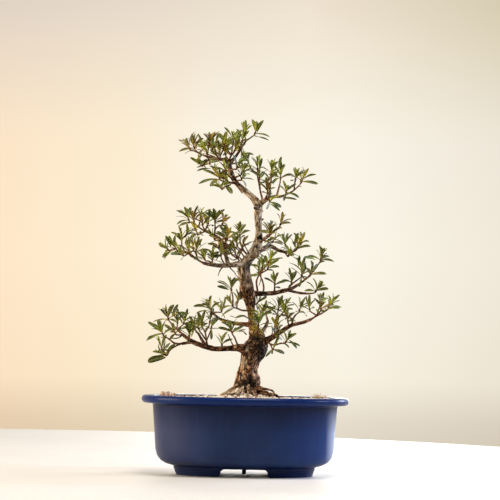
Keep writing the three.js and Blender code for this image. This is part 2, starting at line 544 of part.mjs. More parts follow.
function leaf(base, tip, axis, width, hand) {
  const upright = vec(tip).sub(vec(base)).normalize().dot(axis);
  const climb = THREE.MathUtils.clamp(ROOT.rise * (upright - 0.5), -ROOT.most, ROOT.most);
  const root = vec(base).addScaledVector(axis, climb);
  const run = vec(tip).sub(root);
  const length = run.length();
  const roll = hand * THREE.MathUtils.degToRad(LEAF.roll);
  const side = axis.clone().cross(run).normalize().applyAxisAngle(run.clone().normalize(), roll);
  const upper = run.clone().cross(side).normalize();
  const spindle = new THREE.SphereGeometry(1, 3, LEAF_RINGS.length - 1);
  const place = spindle.attributes.position;
  for (let i = 0; i < place.count; i++) {
    const ring = Math.round((Math.acos(place.getY(i)) / Math.PI) * (LEAF_RINGS.length - 1));
    const { along, wide } = LEAF_RINGS[ring];
    const across = (Math.sign(Math.round(place.getZ(i) * 9)) * width) / 2;
    const over = (Math.sign(place.getX(i)) * LEAF.thick) / 2;
    const at = root.clone()
      .addScaledVector(run, along)
      .addScaledVector(side, wide * across)
      .addScaledVector(upper, wide * over + 4 * LEAF.arch * length * along * (1 - along));
    place.setXYZ(i, at.x, at.y, at.z);
  }
  return solid(spindle);
}

// Ways to bend a leaf clear of its neighbours: which side of the shoot it leans to, how long it is, how high.
const BENDS = [[1, 1, 0], [-1, 1, 0], [1, 0.85, 1], [-1, 0.85, 1], [1, 0.7, 0], [-1, 0.7, 0], [0.5, 0.8, 2],
  [-0.5, 0.8, 2], [1, 0.75, -2], [-1, 0.75, -2], [0.3, 0.65, 0], [-0.3, 0.65, 3]];
const NEIGHBOUR_REACH = 1;

const boxesMeet = (a, b) => [0, 1, 2].every((i) => (
  a.min[i] < b.max[i] + NEIGHBOUR_REACH && b.min[i] < a.max[i] + NEIGHBOUR_REACH));

function isClear(body, obstacles) {
  const box = body.boundingBox();
  return obstacles.every((other) => (
    !boxesMeet(box, other.box) || body.minGap(other.body, NEIGHBOUR_REACH) >= GAP));
}

const obstacle = (body, owner, shoot) => ({ body, owner, shoot, box: body.boundingBox() });

// The way a shoot points: on along its twig, and up.
function shootAxis(twig) {
  return vec(twig.at(-1)).sub(vec(twig.at(-2))).normalize().add(new THREE.Vector3(0, 0, 1)).normalize();
}

// A twig as one bar that thins towards its end and swells there into the bud.
function growTwig(twig, isMain) {
  const first = isMain ? TWIG.main : TWIG.side;
  const stem = twig.slice(0, -1).map(([x, y, z], i) => {
    const part = i / (twig.length - 1);
    return [x, y, z, first * (1 - part) + TWIG.tip * part];
  });
  const base = vec(twig.at(-1));
  const axis = shootAxis(twig);
  const neck = base.clone().addScaledVector(axis, -BUD.below);
  const point = base.clone().addScaledVector(axis, BUD.above);
  return bar([...stem, [...neck, TWIG.tip], [...base, BUD.radius], [...point, BUD.point]], isMain ? 4 : 3);
}

function growSprays() {
  const random = randomStream(SEED);
  const grown = [];
  for (const [name, shoots] of Object.entries(SPRAYS)) {
    shoots.forEach(({ twig }, index) => {
      grown.push(obstacle(growTwig(twig.map(inDepth), index === 0), name, index));
    });
  }
  for (const [name, shoots] of Object.entries(SPRAYS)) {
    shoots.forEach(({ twig, tips }, index) => {
      const base = inDepth(twig.at(-1));
      const axis = shootAxis(twig.map(inDepth));
      const taken = [];
      tips.forEach(([x, z, broad], number) => {
        const full = LEAF.shortest + (LEAF.longest - LEAF.shortest) * random();
        const usual = LEAF.width * (0.85 + 0.35 * random());
        const width = broad ?? usual;
        const seen = Math.hypot(x - base[0], z - base[2]);
        const depth = Math.sqrt(Math.max(full ** 2 - seen ** 2, 9));
        const lean = (index + number) % 2 ? 1 : -1;
        const others = grown.filter((other) => other.owner !== name || other.shoot !== index);
        for (const [turn, size, raise] of BENDS) {
          const tip = [base[0] + (x - base[0]) * size, base[1] + lean * turn * depth,
            base[2] + (z - base[2]) * size + raise];
          const way = vec(tip).sub(vec(base)).normalize();
          if (taken.some((other) => way.angleTo(other) < THREE.MathUtils.degToRad(SPREAD))) continue;
          const blade = leaf(base, tip, axis, width, lean);
          if (isClear(blade, others) && isClear(blade, [woodObstacle])) {
            grown.push(obstacle(blade, name, index));
            taken.push(way);
            return;
          }
        }
      });
    });
  }
  return grown;
}

const woodObstacle = obstacle(wood, 'wood', 0);
const grown = growSprays();

addPiece('pot', makePot(), COLOURS.pot, 0.4);
addPiece('drain_screen_left', makeScreen(-1), COLOURS.screen, 0.6);
addPiece('drain_screen_right', makeScreen(1), COLOURS.screen, 0.6);
addPiece('screen_clip_left', makeClip(-1), COLOURS.clip, 0.4, 1);
addPiece('screen_clip_right', makeClip(1), COLOURS.clip, 0.4, 1);
addPiece('soil', makeSoil(), COLOURS.soil, 1);
addPiece('trunk_and_limbs', wood, COLOURS.bark, 0.85);

const tones = [COLOURS.leaf, COLOURS.young, COLOURS.leaf, COLOURS.bronze];
Object.keys(SPRAYS).forEach((name, number) => {
  const bodies = grown.filter((part) => part.owner === name).map((part) => part.body);
  const spray = largest(join(bodies).subtract(woodSocket));
  addPiece('spray_' + name, spray, tones[number % tones.length]);
});

export default group;
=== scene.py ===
import itertools
import math

import bmesh
import bpy
import numpy as np
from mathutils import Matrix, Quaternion, Vector
from mathutils.kdtree import KDTree


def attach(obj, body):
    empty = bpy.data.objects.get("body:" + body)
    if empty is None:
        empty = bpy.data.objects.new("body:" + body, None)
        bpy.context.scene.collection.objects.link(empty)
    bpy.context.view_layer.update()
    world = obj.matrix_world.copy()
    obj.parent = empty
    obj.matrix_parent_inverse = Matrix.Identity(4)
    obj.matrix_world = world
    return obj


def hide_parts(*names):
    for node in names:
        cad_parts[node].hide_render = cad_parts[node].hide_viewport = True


# A satsuki azalea bonsai in its oval pot. Lengths are in millimetres until they become a mesh; +Z is up,
# +X to the right, the front faces -Y, and the origin is the middle of the foot's underside.
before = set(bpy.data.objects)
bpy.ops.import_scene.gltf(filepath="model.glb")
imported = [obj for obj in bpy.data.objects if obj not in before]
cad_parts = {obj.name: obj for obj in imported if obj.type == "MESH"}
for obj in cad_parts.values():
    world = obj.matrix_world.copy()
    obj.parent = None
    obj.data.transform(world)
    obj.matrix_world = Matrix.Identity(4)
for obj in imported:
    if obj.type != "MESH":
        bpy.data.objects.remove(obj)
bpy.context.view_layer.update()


# --- Camera, table and light -------------------------------------------------------------------------------
# A long lens a little above the pot's lip, held a degree out of level. The tree stands on a round white
# table top before a cream wall. A large soft window lights it from the left, others from the right and from
# behind, and a bright ceiling from above.

METRE = 1000
CAMERA_BACK = 2500
CAMERA_HEIGHT = 145
VIEW_MIDDLE = (2.5, 0, 269.5)
VIEW_HALF_WIDTH = 300
CAMERA_ROLL = 1.0


def look(thing, place, target, roll=0.0):
    """Puts a camera or light at a place and turns it to a target."""
    way = Vector(target) - Vector(place)
    thing.location = Vector(place) / METRE
    thing.rotation_mode = "QUATERNION"
    thing.rotation_quaternion = way.to_track_quat("-Z", "Y") @ Quaternion((0, 0, 1), math.radians(roll))


camera = bpy.data.objects.new("camera", bpy.data.cameras.new("camera"))
camera.data.lens = camera.data.sensor_width / 2 / (VIEW_HALF_WIDTH / CAMERA_BACK)
camera.data.clip_start = 0.1
camera.data.clip_end = 20
look(camera, (0, -CAMERA_BACK, CAMERA_HEIGHT), VIEW_MIDDLE, CAMERA_ROLL)
bpy.context.scene.collection.objects.link(camera)
bpy.context.scene.camera = camera
bpy.context.scene.view_settings.view_transform = "Standard"


def colour(code):
    """An sRGB hex colour as linear RGBA."""
    parts = [int(code[i:i + 2], 16) / 255 for i in (1, 3, 5)]
    return [part / 12.92 if part <= 0.04045 else ((part + 0.055) / 1.055) ** 2.4 for part in parts] + [1]


def add(tree, kind, inputs=None, stops=None, **settings):
    """Adds a shader node. `inputs` gives a value, a socket or a node (its first output) for each socket."""
    node = tree.nodes.new("ShaderNode" + kind)
    for name, value in settings.items():
        setattr(node, name, value)
    for name, value in (inputs or {}).items():
        if isinstance(value, bpy.types.Node):
            value = value.outputs[0]
        if isinstance(value, bpy.types.NodeSocket):
            tree.links.new(value, node.inputs[name])
        else:
            node.inputs[name].default_value = value
    for number, (place, code) in enumerate(stops or []):
        elements = node.color_ramp.elements
        element = elements[number] if number < 2 else elements.new(place)
        element.position = place
        element.color = colour(code)
    return node


def material(name):
    """A new material, its node tree, and the place on the piece in millimetres as a node."""
    made = bpy.data.materials.new(name)
    made.use_nodes = True
    tree = made.node_tree
    tree.nodes.clear()
    place = add(tree, "TexCoord").outputs["Object"]
    return made, tree, add(tree, "VectorMath", {0: place, "Scale": METRE}, operation="SCALE")


def finish_material(tree, shader):
    """Joins the shader to the material's output."""
    add(tree, "OutputMaterial", {"Surface": shader})


def make_piece(name, points, faces, *materials):
    """A smooth mesh object from points in millimetres."""
    mesh = bpy.data.meshes.new(name)
    mesh.from_pydata(np.asarray(points) / METRE, [], faces)
    mesh.shade_smooth()
    piece = bpy.data.objects.new(name, mesh)
    bpy.context.scene.collection.objects.link(piece)
    for one in materials:
        mesh.materials.append(one)
    return piece


def turn_outline(outline, sides, place):
    """A closed body turned from an outline of (radius, height) points that starts and ends on the axis.
    `place` gives the point at a radius, height and angle."""
    angles = np.linspace(0, 2 * math.pi, sides, endpoint=False)
    points = [place(0, outline[0][1], 0)]
    for radius, height in outline[1:-1]:
        points += [place(radius, height, angle) for angle in angles]
    points.append(place(0, outline[-1][1], 0))
    faces = []
    rings = len(outline) - 2
    last = len(points) - 1
    for i in range(sides):
        j = (i + 1) % sides
        faces.append((0, 1 + j, 1 + i))
        faces.append((last, 1 + (rings - 1) * sides + i, 1 + (rings - 1) * sides + j))
        for ring in range(rings - 1):
            low = 1 + ring * sides
            high = low + sides
            faces.append((low + i, low + j, high + j, high + i))
    return points, faces


TABLE_RADIUS = 1010
TABLE_MIDDLE = (-400, 330)
TABLE_THICK = 24
TABLE_CHAMFER = 6
TABLE_RINGS = (950, 300)
TABLE_SIDES = 128

# White painted board: nearly matt, with the faintest unevenness in its paint and a few crumbs of dry soil.
white_paint, tree, place = material("white painted board")
cloud = add(tree, "TexNoise", {"Vector": place, "Scale": 1 / 180, "Detail": 3.0})
tint = add(tree, "ValToRGB", {"Fac": cloud}, stops=[(0.35, "#d8d6d0"), (0.65, "#dddbd5")])
crumb = add(tree, "TexVoronoi", {"Vector": place, "Scale": 1 / 26})
crumbs = add(tree, "MapRange", {"Value": crumb, "From Min": 0.04, "From Max": 0.02, "To Max": 0.4})
strewn = add(tree, "MixRGB", {"Fac": crumbs, "Color1": tint, "Color2": colour("#8a7458")})
grain = add(tree, "TexNoise", {"Vector": place, "Scale": 1 / 6, "Detail": 2.0})
uneven = add(tree, "Bump", {"Height": grain, "Strength": 0.05, "Distance": 0.0003})
finish_material(tree, add(tree, "BsdfPrincipled", {
    "Base Color": strewn, "Roughness": 0.55, "Normal": uneven}))


def on_table(radius, height, angle):
    """The point of the round table at a radius, a height and an angle."""
    return (radius * math.cos(angle) + TABLE_MIDDLE[0], radius * math.sin(angle) + TABLE_MIDDLE[1], height)


# The board's edges are chamfered. Rings on its flat top keep the faces there from being long slivers.
rim = TABLE_RADIUS - TABLE_CHAMFER
table_outline = [
    (0, -TABLE_THICK), (rim, -TABLE_THICK), (TABLE_RADIUS, -TABLE_THICK + TABLE_CHAMFER),
    (TABLE_RADIUS, -TABLE_CHAMFER), (rim, 0), *((radius, 0) for radius in TABLE_RINGS), (0, 0)]
table = make_piece("table_top", *turn_outline(table_outline, TABLE_SIDES, on_table), white_paint)
table.data.set_sharp_from_angle(angle=math.radians(30))

# The wall is cream, warmer on the left, and dimmer towards its corners and where it goes down behind the
# table. The room in front of it is dark, with a bright window on the left.
world = bpy.data.worlds.new("room")
bpy.context.scene.world = world
world.use_nodes = True
tree = world.node_tree
tree.nodes.clear()
way = add(tree, "SeparateXYZ", {"Vector": add(tree, "TexCoord").outputs["Generated"]})
climb = add(tree, "MapRange", {"Value": way.outputs["Z"], "From Min": -0.06, "From Max": 0.18})
tall = add(tree, "ValToRGB", {"Fac": climb}, stops=[
    (0.0, "#d6cbb6"), (0.12, "#e8dece"), (0.2, "#fbf3e3"), (0.45, "#fff8ea"), (0.7, "#fcf5e8"),
    (0.86, "#f5ecdf"), (1.0, "#ebe1d7")])
breadth = add(tree, "MapRange", {"Value": way.outputs["X"], "From Min": -0.13, "From Max": 0.13})
wide = add(tree, "ValToRGB", {"Fac": breadth}, stops=[
    (0.05, "#ffeedb"), (0.27, "#fff6e5"), (0.44, "#fffdf9"), (0.68, "#fdfefe"), (0.96, "#f1f0ee")])
high_wide = add(tree, "ValToRGB", {"Fac": breadth}, stops=[
    (0.05, "#efeae6"), (0.6, "#fffcf4"), (0.96, "#e6e4d2")])
upward = add(tree, "MapRange", {"Value": way.outputs["Z"], "From Min": 0.1, "From Max": 0.165})
glow = add(tree, "MixRGB", {"Fac": upward, "Color1": wide, "Color2": high_wide})
wall = add(tree, "MixRGB", {"Fac": 1.0, "Color1": tall, "Color2": glow}, blend_type="MULTIPLY")
ahead = add(tree, "MapRange", {"Value": way.outputs["Y"], "From Min": -1.0, "From Max": 1.0})
room = add(tree, "ValToRGB", {"Fac": ahead}, stops=[
    (0.0, "#3a3733"), (0.3, "#4c4843"), (0.6, "#8f887d"), (0.93, "#ffffff")])
leftward = add(tree, "MapRange", {"Value": way.outputs["X"], "From Min": 0.0, "From Max": -1.0})
window = add(tree, "ValToRGB", {"Fac": leftward}, stops=[
    (0.3, "#000000"), (0.75, "#b8b4ac"), (1.0, "#e4dfd5")])
around = add(tree, "MixRGB", {"Fac": 1.0, "Color1": room, "Color2": window}, blend_type="LIGHTEN")
lit = add(tree, "MixRGB", {"Fac": 1.0, "Color1": around, "Color2": wall}, blend_type="MULTIPLY")
add(tree, "OutputWorld", {"Surface": add(tree, "Background", {"Color": lit, "Strength": 1.0})})

TREE_MIDDLE = (0, 0, 200)
LIGHTS = {
    "window_left": dict(place=(-1900, -400, 600), size=1300, watts=44, tint="#ffebd2"),
    "window_behind": dict(place=(300, 1700, 450), size=900, watts=11, tint="#fffdf6"),
    "window_right": dict(place=(1700, -350, 850), size=700, watts=22, tint="#dde5ff"),
    "door_right": dict(place=(1600, 1150, 600), size=700, watts=36, tint="#cfdcff"),
    "ceiling_front": dict(place=(200, -700, 2200), size=800, watts=36, tint="#fffaf2"),
}
for name, light in LIGHTS.items():
    lamp = bpy.data.lights.new(name, "AREA")
    lamp.size = light["size"] / METRE
    lamp.energy = light["watts"]
    lamp.color = colour(light["tint"])[:3]
    holder = bpy.data.objects.new(name, lamp)
    holder.visible_camera = False
    look(holder, light["place"], TREE_MIDDLE)
    bpy.context.scene.collection.objects.link(holder)


# --- Pot ---------------------------------------------------------------------------------------------------
# An oval training pot, injection moulded in one piece from blue polypropylene: a drafted wall, a rounded
# lower corner, a thick rolled lip, and a foot ring with a gate in its front and back. A peg stands under the
# middle of the floor, where the plastic was let into the mould.

POT_LONG_HALF = 124
POT_SHORT_HALF = 96
POT_SQUARENESS = 2.25
POT_SIDES = 224
EVEN_FROM = 60
FLOOR_UNDERSIDE = 11
FLOOR_TOP = 16
GATE = {"bottom": 31, "top": 26, "height": 9.5, "corner": 5, "below": -2}
DRAIN = {"x": 48, "radius": 9, "sides": 48, "overcut": 4}
ARC_STEP = math.radians(12)

# Corners of the section through the pot's long half, from under the floor round the foot ring, the wall and
# the lip to the floor's top: how far out, how high, and the radius that rounds it.
POT_SECTION = [
    (0, FLOOR_UNDERSIDE, 0), (77, FLOOR_UNDERSIDE, 1.2), (77.3, 0, 0.9), (81.5, 0, 1), (82.1, 3.2, 0.3),
    (82.9, 3.4, 0.3), (83.4, 6.8, 0.3), (84.2, 7, 0.3), (84.8, 10.4, 0.6), (87.6, 11.5, 1.5), (94, 13.4, 14),
    (100.4, 17, 12), (104.6, 22.6, 12), (106.5, 30.5, 24), (110.6, 84.2, 1.6), (POT_LONG_HALF, 85.4, 4.6),
    (POT_LONG_HALF, 94.3, 5), (108.6, 93.9, 2.2), (106.9, 90, 4), (102.3, FLOOR_TOP, 17), (0, FLOOR_TOP, 0),
]


def rounded(section):
    """The section's corners turned into arcs, each no further than half way along its sides."""
    outline = [section[0][:2]]
    for before, here, after in zip(section, section[1:], section[2:]):
        corner = np.array(here[:2], float)
        back = np.array(before[:2], float) - corner
        onward = np.array(after[:2], float) - corner
        reach = 0.49 * min(np.linalg.norm(back), np.linalg.norm(onward))
        back /= np.linalg.norm(back)
        onward /= np.linalg.norm(onward)
        half = math.acos(np.clip(back @ onward, -1, 1)) / 2
        radius = min(here[2], reach * math.tan(half))
        middle = corner + (back + onward) / np.linalg.norm(back + onward) * radius / math.sin(half)
        turn = math.pi - 2 * half
        count = max(2, math.ceil(turn / ARC_STEP))
        start = corner + back * radius / math.tan(half) - middle
        sign = 1 if back[0] * onward[1] - back[1] * onward[0] < 0 else -1
        for i in range(count + 1):
            angle = sign * turn * i / count
            spin = np.array([[math.cos(angle), -math.sin(angle)], [math.sin(angle), math.cos(angle)]])
            outline.append(tuple(middle + spin @ start))
    return outline + [section[-1][:2]]


def short_half(long_half):
    """Half the oval's width where half its length is given: even in the wall, shrinking under the floor."""
    slim = POT_LONG_HALF - POT_SHORT_HALF
    return long_half - slim if long_half > EVEN_FROM else long_half * (EVEN_FROM - slim) / EVEN_FROM


def squared(value):
    """A sine or cosine pushed outward, which makes an oval a little squarer than an ellipse."""
    return math.copysign(abs(value) ** (2 / POT_SQUARENESS), value)


def on_oval(long_half, height, angle):
    """The point of the pot where half its length is given, at a height and an angle round it."""
    return (long_half * squared(math.cos(angle)), short_half(long_half) * squared(math.sin(angle)), height)


def bake(piece):
    """Turns the piece's modifiers into plain mesh."""
    shaped = piece.evaluated_get(bpy.context.evaluated_depsgraph_get())
    mesh = bpy.data.meshes.new_from_object(shaped)
    piece.modifiers.clear()
    piece.data = mesh


def cut(piece, tool):
    """Cuts the tool out of the piece and removes the tool."""
    cutting = piece.modifiers.new("cut", "BOOLEAN")
    cutting.operation = "DIFFERENCE"
    cutting.solver = "MANIFOLD"
    cutting.object = tool
    bpy.context.view_layer.update()
    bake(piece)
    bpy.data.objects.remove(tool)


def prism(name, outline, low, high, lay):
    """A prism over a closed outline of (across, up) points; `lay` turns (across, up, depth) into a point."""
    points = [lay(across, up, low) for across, up in outline]
    points += [lay(across, up, high) for across, up in outline]
    count = len(outline)
    faces = [tuple(range(count))[::-1], tuple(range(count, 2 * count))]
    faces += [(i, (i + 1) % count, (i + 1) % count + count, i + count) for i in range(count)]
    return make_piece(name, points, faces)


# Moulded polypropylene: a deep blue with a soft shine. Years of watering have left faint vertical streaks,
# a fine dust that dulls it unevenly, and a few specks of dried soil. Painted light: a grey reflection of the
# window on the left half, a clearer blue on the right half where light falls from the right, and a pale
# highlight along the right end. Painted shade darkens the wall under the lip and the foot, where no dust is
# painted.
pot_plastic, tree, place = material("moulded blue polypropylene")
cloud = add(tree, "TexNoise", {"Vector": place, "Scale": 1 / 45, "Detail": 4.0, "Roughness": 0.55})
filmed = add(tree, "ValToRGB", {"Fac": cloud}, stops=[(0.3, "#17294f"), (0.55, "#1b2f59"), (0.75, "#213662")])
parts = add(tree, "SeparateXYZ", {"Vector": place})
sideways, height = parts.outputs["X"], parts.outputs["Z"]
# Painted shade: the wall just under the lip and the foot above the table are painted a near-black blue,
# without the dust film.
out_of_lip_shadow = add(tree, "MapRange", {"Value": height, "From Min": 84, "From Max": 52})
out_of_foot_shade = add(tree, "MapRange", {"Value": height, "From Min": 11, "From Max": 18, "To Min": 0.2})
dust_out_of_shade = add(tree, "Math", {0: out_of_lip_shadow, 1: out_of_foot_shade}, operation="MULTIPLY")
# Painted light: the right half is painted a brighter, clearer blue where light from the right falls on it.
right_lit_side = add(tree, "MapRange", {"Value": sideways, "From Min": 25.0, "From Max": 100.0})
right_lit = add(tree, "MixRGB", {"Fac": right_lit_side, "Color1": filmed, "Color2": colour("#13326a")})
# Painted highlight: a pale line along the pot's right end.
right_edge_highlight = add(tree, "MapRange", {"Value": sideways, "From Min": 95.5, "From Max": 106.0})
right_highlighted = add(tree, "MixRGB", {"Fac": right_edge_highlight, "Color1": right_lit, "Color2": colour("#95a1b6")})
# Painted reflection: the left half is painted greyer, for the window on the left reflected in the plastic.
left_window_reflection = add(tree, "MapRange", {
    "Value": sideways, "From Min": -30.0, "From Max": -100.0, "To Max": 0.7})
left_reflected = add(tree, "MixRGB", {"Fac": left_window_reflection, "Color1": right_highlighted, "Color2": colour("#3b3e5c")})
# The lip keeps its own blue; the wall just below it is painted in shade.
on_lip = add(tree, "MapRange", {"Value": height, "From Min": 83.5, "From Max": 86.0})
lip_and_painted_shade = add(tree, "MixRGB", {"Fac": on_lip, "Color1": colour("#04133a"), "Color2": colour("#10275c")})
blue = add(tree, "MixRGB", {"Fac": dust_out_of_shade, "Color1": lip_and_painted_shade, "Color2": left_reflected})
runs = add(tree, "VectorMath", {0: place, 1: (1, 1, 0.06)}, operation="MULTIPLY")
streak = add(tree, "TexNoise", {"Vector": runs, "Scale": 1 / 5, "Detail": 3.0})
streaks = add(tree, "MapRange", {"Value": streak, "From Min": 0.52, "From Max": 0.8, "To Max": 0.1})
dusty = add(tree, "MixRGB", {"Fac": streaks, "Color1": blue, "Color2": colour("#4a5479")})
speck = add(tree, "TexVoronoi", {"Vector": place, "Scale": 1 / 9})
specks = add(tree, "MapRange", {"Value": speck, "From Min": 0.045, "From Max": 0.03})
patch = add(tree, "TexNoise", {"Vector": place, "Scale": 1 / 30, "Detail": 1.0})
patches = add(tree, "MapRange", {"Value": patch, "From Min": 0.56, "From Max": 0.62})
marked = add(tree, "Math", {0: specks, 1: patches}, operation="MULTIPLY")
marks = add(tree, "MixRGB", {"Fac": marked, "Color1": dusty, "Color2": colour("#a9a9b4")})
scuff = add(tree, "TexNoise", {"Vector": place, "Scale": 1 / 12, "Detail": 6.0, "Roughness": 0.7})
shine = add(tree, "MapRange", {
    "Value": scuff, "From Min": 0.3, "From Max": 0.75, "To Min": 0.33, "To Max": 0.46})
peel = add(tree, "TexNoise", {"Vector": place, "Scale": 1 / 1.6, "Detail": 2.0})
skin = add(tree, "Bump", {"Height": peel, "Strength": 0.08, "Distance": 0.0002})
finish_material(tree, add(tree, "BsdfPrincipled", {
    "Base Color": marks, "Roughness": shine, "IOR": 1.49, "Specular IOR Level": 0.06, "Normal": skin,
    "Coat Weight": 0.18, "Coat Roughness": 0.12, "Coat IOR": 1.49}))

pot = make_piece("oval_pot", *turn_outline(rounded(POT_SECTION), POT_SIDES, on_oval), pot_plastic)

# The gates are one cut through the front and the back of the foot ring; the drain holes go through the floor.
gate_foot = [(-GATE["bottom"], GATE["below"], 0), (GATE["bottom"], GATE["below"], 0)]
gate_head = [(side * GATE["top"], GATE["height"], GATE["corner"]) for side in (1, -1)]
gate_outline = rounded(gate_foot + gate_head + gate_foot[:1])[:-1]
cut(pot, prism("gate", gate_outline, -POT_SHORT_HALF, POT_SHORT_HALF, lambda x, z, y: (x, -y, z)))
low, high = FLOOR_UNDERSIDE - DRAIN["overcut"], FLOOR_TOP + DRAIN["overcut"]
for side in (-1, 1):
    ring = [(side * DRAIN["x"] + DRAIN["radius"] * math.cos(a), DRAIN["radius"] * math.sin(a))
            for a in np.linspace(0, 2 * math.pi, DRAIN["sides"], endpoint=False)]
    cut(pot, prism("drain", ring, low, high, lambda x, y, z: (x, y, z)))
pot.data.set_sharp_from_angle(angle=math.radians(35))
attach(pot, "root")
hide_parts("pot")

# The inlet peg: a stub of the same plastic under the middle of the floor, torn off flat where the mould was
# filled. Its outline is how far out and how high.
PEG = [(0, 0.8), (1.9, 0.8), (2.4, 1.4), (2.5, 6), (3.2, 10), (4.4, 11.6), (0, 11.6)]
PEG_SIDES = 24
peg = make_piece("inlet_peg", *turn_outline(
    PEG, PEG_SIDES, lambda r, z, a: (r * math.cos(a), r * math.sin(a), z)), pot_plastic)
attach(peg, "root")
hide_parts("pot")


# --- Drainage nets -----------------------------------------------------------------------------------------
# A square of black polyethylene net lies over each drain hole to keep the soil in. It was cut with scissors
# from a sheet extruded as crossing strands.

# CLEARANCE is how far parts that lie on each other are kept apart.
CLEARANCE = 0.35
NET = {"half": 17, "margin": 1, "pitch": 3.4, "strand": 0.55, "pressed": 0.5, "thick": 1.4,
       "base": FLOOR_TOP + CLEARANCE}

# Extruded polyethylene: black, waxy, a little shine on every strand.
net_plastic, tree, place = material("black polyethylene net")
wax = add(tree, "TexNoise", {"Vector": place, "Scale": 1 / 3})
tone = add(tree, "ValToRGB", {"Fac": wax}, stops=[(0.3, "#161816"), (0.7, "#2a2c28")])
dull = add(tree, "MapRange", {"Value": wax, "To Min": 0.4, "To Max": 0.65})
finish_material(tree, add(tree, "BsdfPrincipled", {"Base Color": tone, "Roughness": dull, "IOR": 1.51}))


def centre_line(points, steps):
    """Points of a smooth centripetal curve through (x, y, z, radius) points, `steps` to a span."""
    knots = np.array(points, float)
    ends = np.vstack([2 * knots[0] - knots[1], knots, 2 * knots[-1] - knots[-2]])
    line = []
    for a, b, c, d in zip(ends, ends[1:], ends[2:], ends[3:]):
        ab, bc, cd = (math.sqrt(math.dist(p[:3], q[:3])) for p, q in ((a, b), (b, c), (c, d)))
        leave = ((b - a) / ab - (c - a) / (ab + bc) + (c - b) / bc) * bc
        arrive = ((c - b) / bc - (d - b) / (bc + cd) + (d - c) / cd) * bc
        for part in np.arange(steps) / steps:
            square, cube = part ** 2, part ** 3
            spot = (2 * cube - 3 * square + 1) * b + (cube - 2 * square + part) * leave
            spot += (3 * square - 2 * cube) * c + (cube - square) * arrive
            spot[3] = b[3] * (1 - part) + c[3] * part
            line.append(spot)
    line.append(knots[-1])
    return np.array(line)


def frames_along(line):
    """For each point of a centre line: its direction and two directions across that don't twist."""
    along = np.gradient(line[:, :3], axis=0)
    along /= np.linalg.norm(along, axis=1)[:, None]
    across = np.cross((0.31, -0.87, 0.38), along[0])
    sides = []
    for way in along:
        across = across - way * (across @ way)
        across /= np.linalg.norm(across)
        sides.append(across)
    sides = np.array(sides)
    return along, sides, np.cross(sides, along)


def round_bar(line, sides):
    """A closed round bar along a centre line, as points and faces."""
    along, across, over = frames_along(line)
    angles = np.linspace(0, 2 * math.pi, sides, endpoint=False)
    rings = line[:, None, :3] + line[:, None, 3:] * (
        across[:, None] * np.cos(angles)[:, None] + over[:, None] * np.sin(angles)[:, None])
    points = np.vstack([line[:1, :3] - along[:1] * line[0, 3] * 0.5, rings.reshape(-1, 3),
                        line[-1:, :3] + along[-1:] * line[-1, 3] * 0.5])
    faces = []
    last = len(points) - 1
    top = 1 + (len(line) - 1) * sides
    for i in range(sides):
        j = (i + 1) % sides
        faces.append((0, 1 + i, 1 + j))
        faces.append((last, top + j, top + i))
        for low in range(1, top, sides):
            faces.append((low + i, low + i + sides, low + j + sides, low + j))
    return points, faces


def gather(bodies):
    """Several (points, faces) bodies as one."""
    points, faces, count = [], [], 0
    for body_points, body_faces in bodies:
        points.append(np.asarray(body_points))
        faces += [tuple(corner + count for corner in face) for face in body_faces]
        count += len(body_points)
    return np.vstack(points), faces


def net_strands(side):
    """The net's strands: one layer along X, and one along Y that is pressed into it."""
    strands = []
    reach = NET["half"]
    for offset in np.arange(-reach + NET["margin"], reach, NET["pitch"]):
        for lift, (dx, dy) in ((0, (1, 0)), (NET["pressed"], (0, 1))):
            z = NET["base"] + NET["strand"] + lift
            strand = [(side * DRAIN["x"] + dx * t + dy * offset, dy * t + dx * offset, z, NET["strand"])
                      for t in np.linspace(-reach, reach, 6)]
            strands.append(round_bar(np.array(strand), 8))
    return gather(strands)


for side, hand in ((-1, "left"), (1, "right")):
    net = make_piece("drain_net_" + hand, *net_strands(side), net_plastic)
    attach(net, "root")
    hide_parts("drain_screen_" + hand)


# --- Net clips ---------------------------------------------------------------------------------------------
# One length of annealed aluminium wire holds each net: bent to a staple by hand, pushed down through the net
# and the drain hole, its ends folded out flat under the pot's floor.

CLIP = {"radius": 0.7, "spread": 3.9, "foot": 15, "rise": 1.6, "across": 3.75, "shoulder": 1.5, "bend": 2.2}

# Annealed aluminium: a soft silver grey, dulled and finely scratched by pliers and damp soil.
clip_wire, tree, place = material("annealed aluminium wire")
worn = add(tree, "TexNoise", {"Vector": place, "Scale": 1 / 1.2, "Detail": 4.0})
grey = add(tree, "ValToRGB", {"Fac": worn}, stops=[(0.3, "#a9abad"), (0.7, "#cfd1d2")])
matt = add(tree, "MapRange", {"Value": worn, "To Min": 0.3, "To Max": 0.55})
finish_material(tree, add(tree, "BsdfPrincipled", {"Base Color": grey, "Metallic": 1.0, "Roughness": matt}))


def clip_line(side):
    """The wire's centre line, from the end of one foot over the net to the end of the other."""
    top = NET["base"] + NET["thick"] + CLEARANCE + CLIP["radius"]
    under = FLOOR_UNDERSIDE - CLEARANCE - CLIP["radius"]
    spread = CLIP["spread"]
    half = [(spread - CLIP["shoulder"], top + CLIP["rise"]), (spread, top - 0.6), (spread, FLOOR_TOP - 2),
            (spread + 0.3, under + 1.2), (spread + CLIP["bend"], under), (CLIP["foot"], under)]
    whole = [(-x, z) for x, z in half[::-1]] + [(0, top + CLIP["rise"] + 0.3)] + half
    return [(side * DRAIN["x"] + x, CLIP["across"], z, CLIP["radius"]) for x, z in whole]


for side, hand in ((-1, "left"), (1, "right")):
    clip = make_piece("net_clip_" + hand, *round_bar(centre_line(clip_line(side), 6), 12), clip_wire)
    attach(clip, "root")
    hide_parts("screen_clip_" + hand)


# --- Trunk, roots and limbs --------------------------------------------------------------------------------
# The tree's wood grew in one: surface roots, a short heavy trunk with two waists, and bare limbs that bend
# up at their ends. Its grey-brown bark is thin and flaky; old pruning cuts have healed into knobs.

